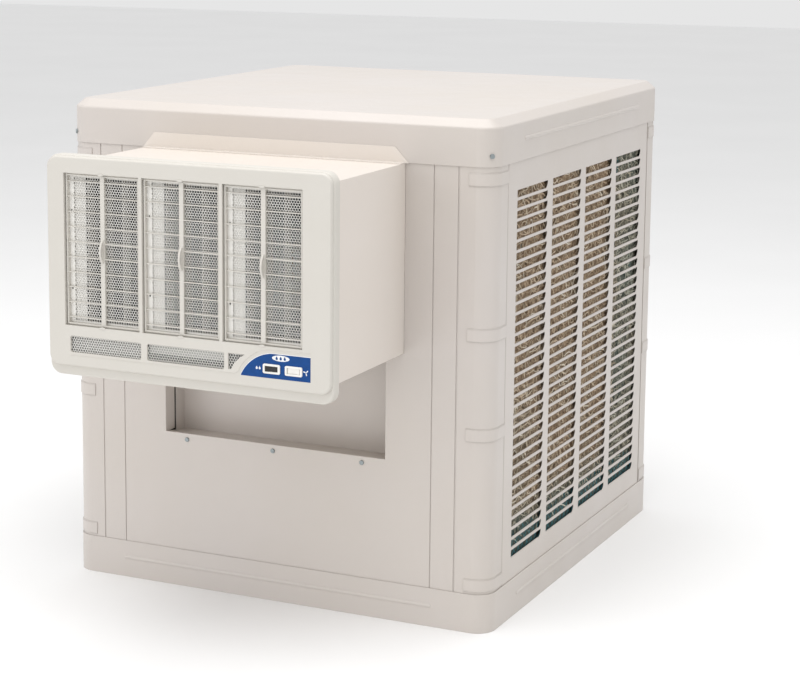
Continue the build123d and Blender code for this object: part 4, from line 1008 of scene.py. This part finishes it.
def badge_edge():
    """The badge's white printed edge, along its curved end and its top."""
    low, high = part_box("control_badge")
    y = low.y + 0.1 * MM
    outset = 0.4 * MM
    path = [(x, y, z) for x, z in badge_arc(outset)]
    path.append((high.x, y, high.z + outset))
    bead("badge_edge", path, SILK_WHITE)


def pivot_tabs():
    """Small raised ovals over the upper and lower pivot of each cartridge."""
    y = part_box("control_badge")[0].y
    tabs = []
    for place in ("left", "centre", "right"):
        low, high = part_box(f"cartridge_frame_{place}")
        middle = (low.x + high.x) / 2
        for z in (low.z + 3.0 * MM, high.z - 3.0 * MM):
            tabs.append(ellipse(middle, z, 5.0 * MM, 1.7 * MM, 24))
    flat_prism(
        "pivot_tabs", tabs, y - 0.6 * MM, y + 1.2 * MM, MATERIALS["grille_plastic"], "cabinet",
    )


def seam_fillers():
    """Folded edges that close the four upright seams of the front just behind its skin."""
    panel_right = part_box("front_panel")[1].x
    strip_low, strip_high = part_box("front_strip_right")
    post_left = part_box("corner_post_front_right")[0].x
    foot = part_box("base_pan")[1].z - SEAM_TUCK
    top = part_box("lid")[0].z + SEAM_TUCK
    skin = strip_low.y
    fillers = []
    for inner, outer in ((panel_right, strip_low.x), (strip_high.x, post_left)):
        for sign in (-1, 1):
            left, right = sorted((sign * (inner + SEAM_PLAY), sign * (outer - SEAM_PLAY)))
            fillers.append(rectangle(left, right, foot, top))
    flat_prism(
        "seam_fillers", fillers, skin + SEAM_DEPTH, skin + SEAM_BACK, MATERIALS["cabinet_enamel"],
        "cabinet",
    )


# ---------------------------------------------------------------- stage, lights and camera
CAMERA_PLACE = (1.472, -3.194, 1.0766)
CAMERA_AZIMUTH = 26.315
CAMERA_ELEVATION = 9.479
CAMERA_ROLL = 0.207
CAMERA_LENS = 96.9
CAMERA_SHIFT = (0.10, -0.123)
SKY_STRENGTH = 0.79
FLOOR_REACH = 14.0


def camera():
    """The camera of the photograph: its place, its aim, its lens and the shift of its picture."""
    data = bpy.data.cameras.new("camera")
    data.sensor_width = 36.0
    data.lens = CAMERA_LENS
    data.shift_x, data.shift_y = CAMERA_SHIFT
    data.clip_start, data.clip_end = 0.05, 60.0
    holder = bpy.data.objects.new("camera", data)
    bpy.context.scene.collection.objects.link(holder)
    azimuth, elevation = math.radians(CAMERA_AZIMUTH), math.radians(CAMERA_ELEVATION)
    level = math.cos(elevation)
    ahead = Vector((-math.sin(azimuth) * level, math.cos(azimuth) * level, -math.sin(elevation)))
    holder.location = CAMERA_PLACE
    holder.rotation_mode = "QUATERNION"
    turn = ahead.to_track_quat("-Z", "Y")
    holder.rotation_quaternion = turn @ Quaternion((0, 0, 1), math.radians(CAMERA_ROLL))
    bpy.context.scene.camera = holder


def area_light(name, place, target, size, power, colour=(1.0, 1.0, 1.0)):
    """A rectangular lamp at place that points at target; power is in watts."""
    data = bpy.data.lights.new(name, "AREA")
    data.shape = "RECTANGLE"
    data.size, data.size_y = size
    data.energy = power
    data.color = colour
    lamp = bpy.data.objects.new(name, data)
    lamp.location = place
    lamp.rotation_mode = "QUATERNION"
    lamp.rotation_quaternion = (Vector(target) - Vector(place)).to_track_quat("-Z", "Y")
    bpy.context.scene.collection.objects.link(lamp)


def studio():
    """A pale floor under an even white sky, a broad lamp above and two softer ones in front."""
    mesh = bpy.data.meshes.new("studio_floor")
    corners = [(x * FLOOR_REACH, y * FLOOR_REACH, 0) for x, y in ((-1, -1), (1, -1), (1, 1), (-1, 1))]
    mesh.from_pydata(corners, [], [(0, 1, 2, 3)])
    mesh.materials.append(FLOOR)
    floor = bpy.data.objects.new("studio_floor", mesh)
    bpy.context.scene.collection.objects.link(floor)
    world = bpy.data.worlds.new("studio")
    world.use_nodes = True
    world.node_tree.nodes["Background"].inputs["Color"].default_value = (1.0, 1.0, 1.0, 1.0)
    world.node_tree.nodes["Background"].inputs["Strength"].default_value = SKY_STRENGTH
    bpy.context.scene.world = world
    area_light("top", (0.3, -0.6, 3.4), (0, 0, 0.4), (3.2, 3.2), 80.0)
    area_light("front_left", (-2.6, -3.4, 2.0), (0, -0.3, 0.4), (2.2, 2.2), 24.0, (0.97, 0.98, 1.0))
    area_light("low_front", (-0.6, -4.4, 0.7), (0, -0.4, 0.4), (1.8, 1.0), 11.0)
    bpy.context.scene.view_settings.view_transform = "Standard"


coat_cad_nodes()
cell_screens()
window_screens()
window_baffles()
pad_sides()
badge_marks()
grille_bead()
badge_edge()
pivot_tabs()
seam_fillers()
studio()
camera()
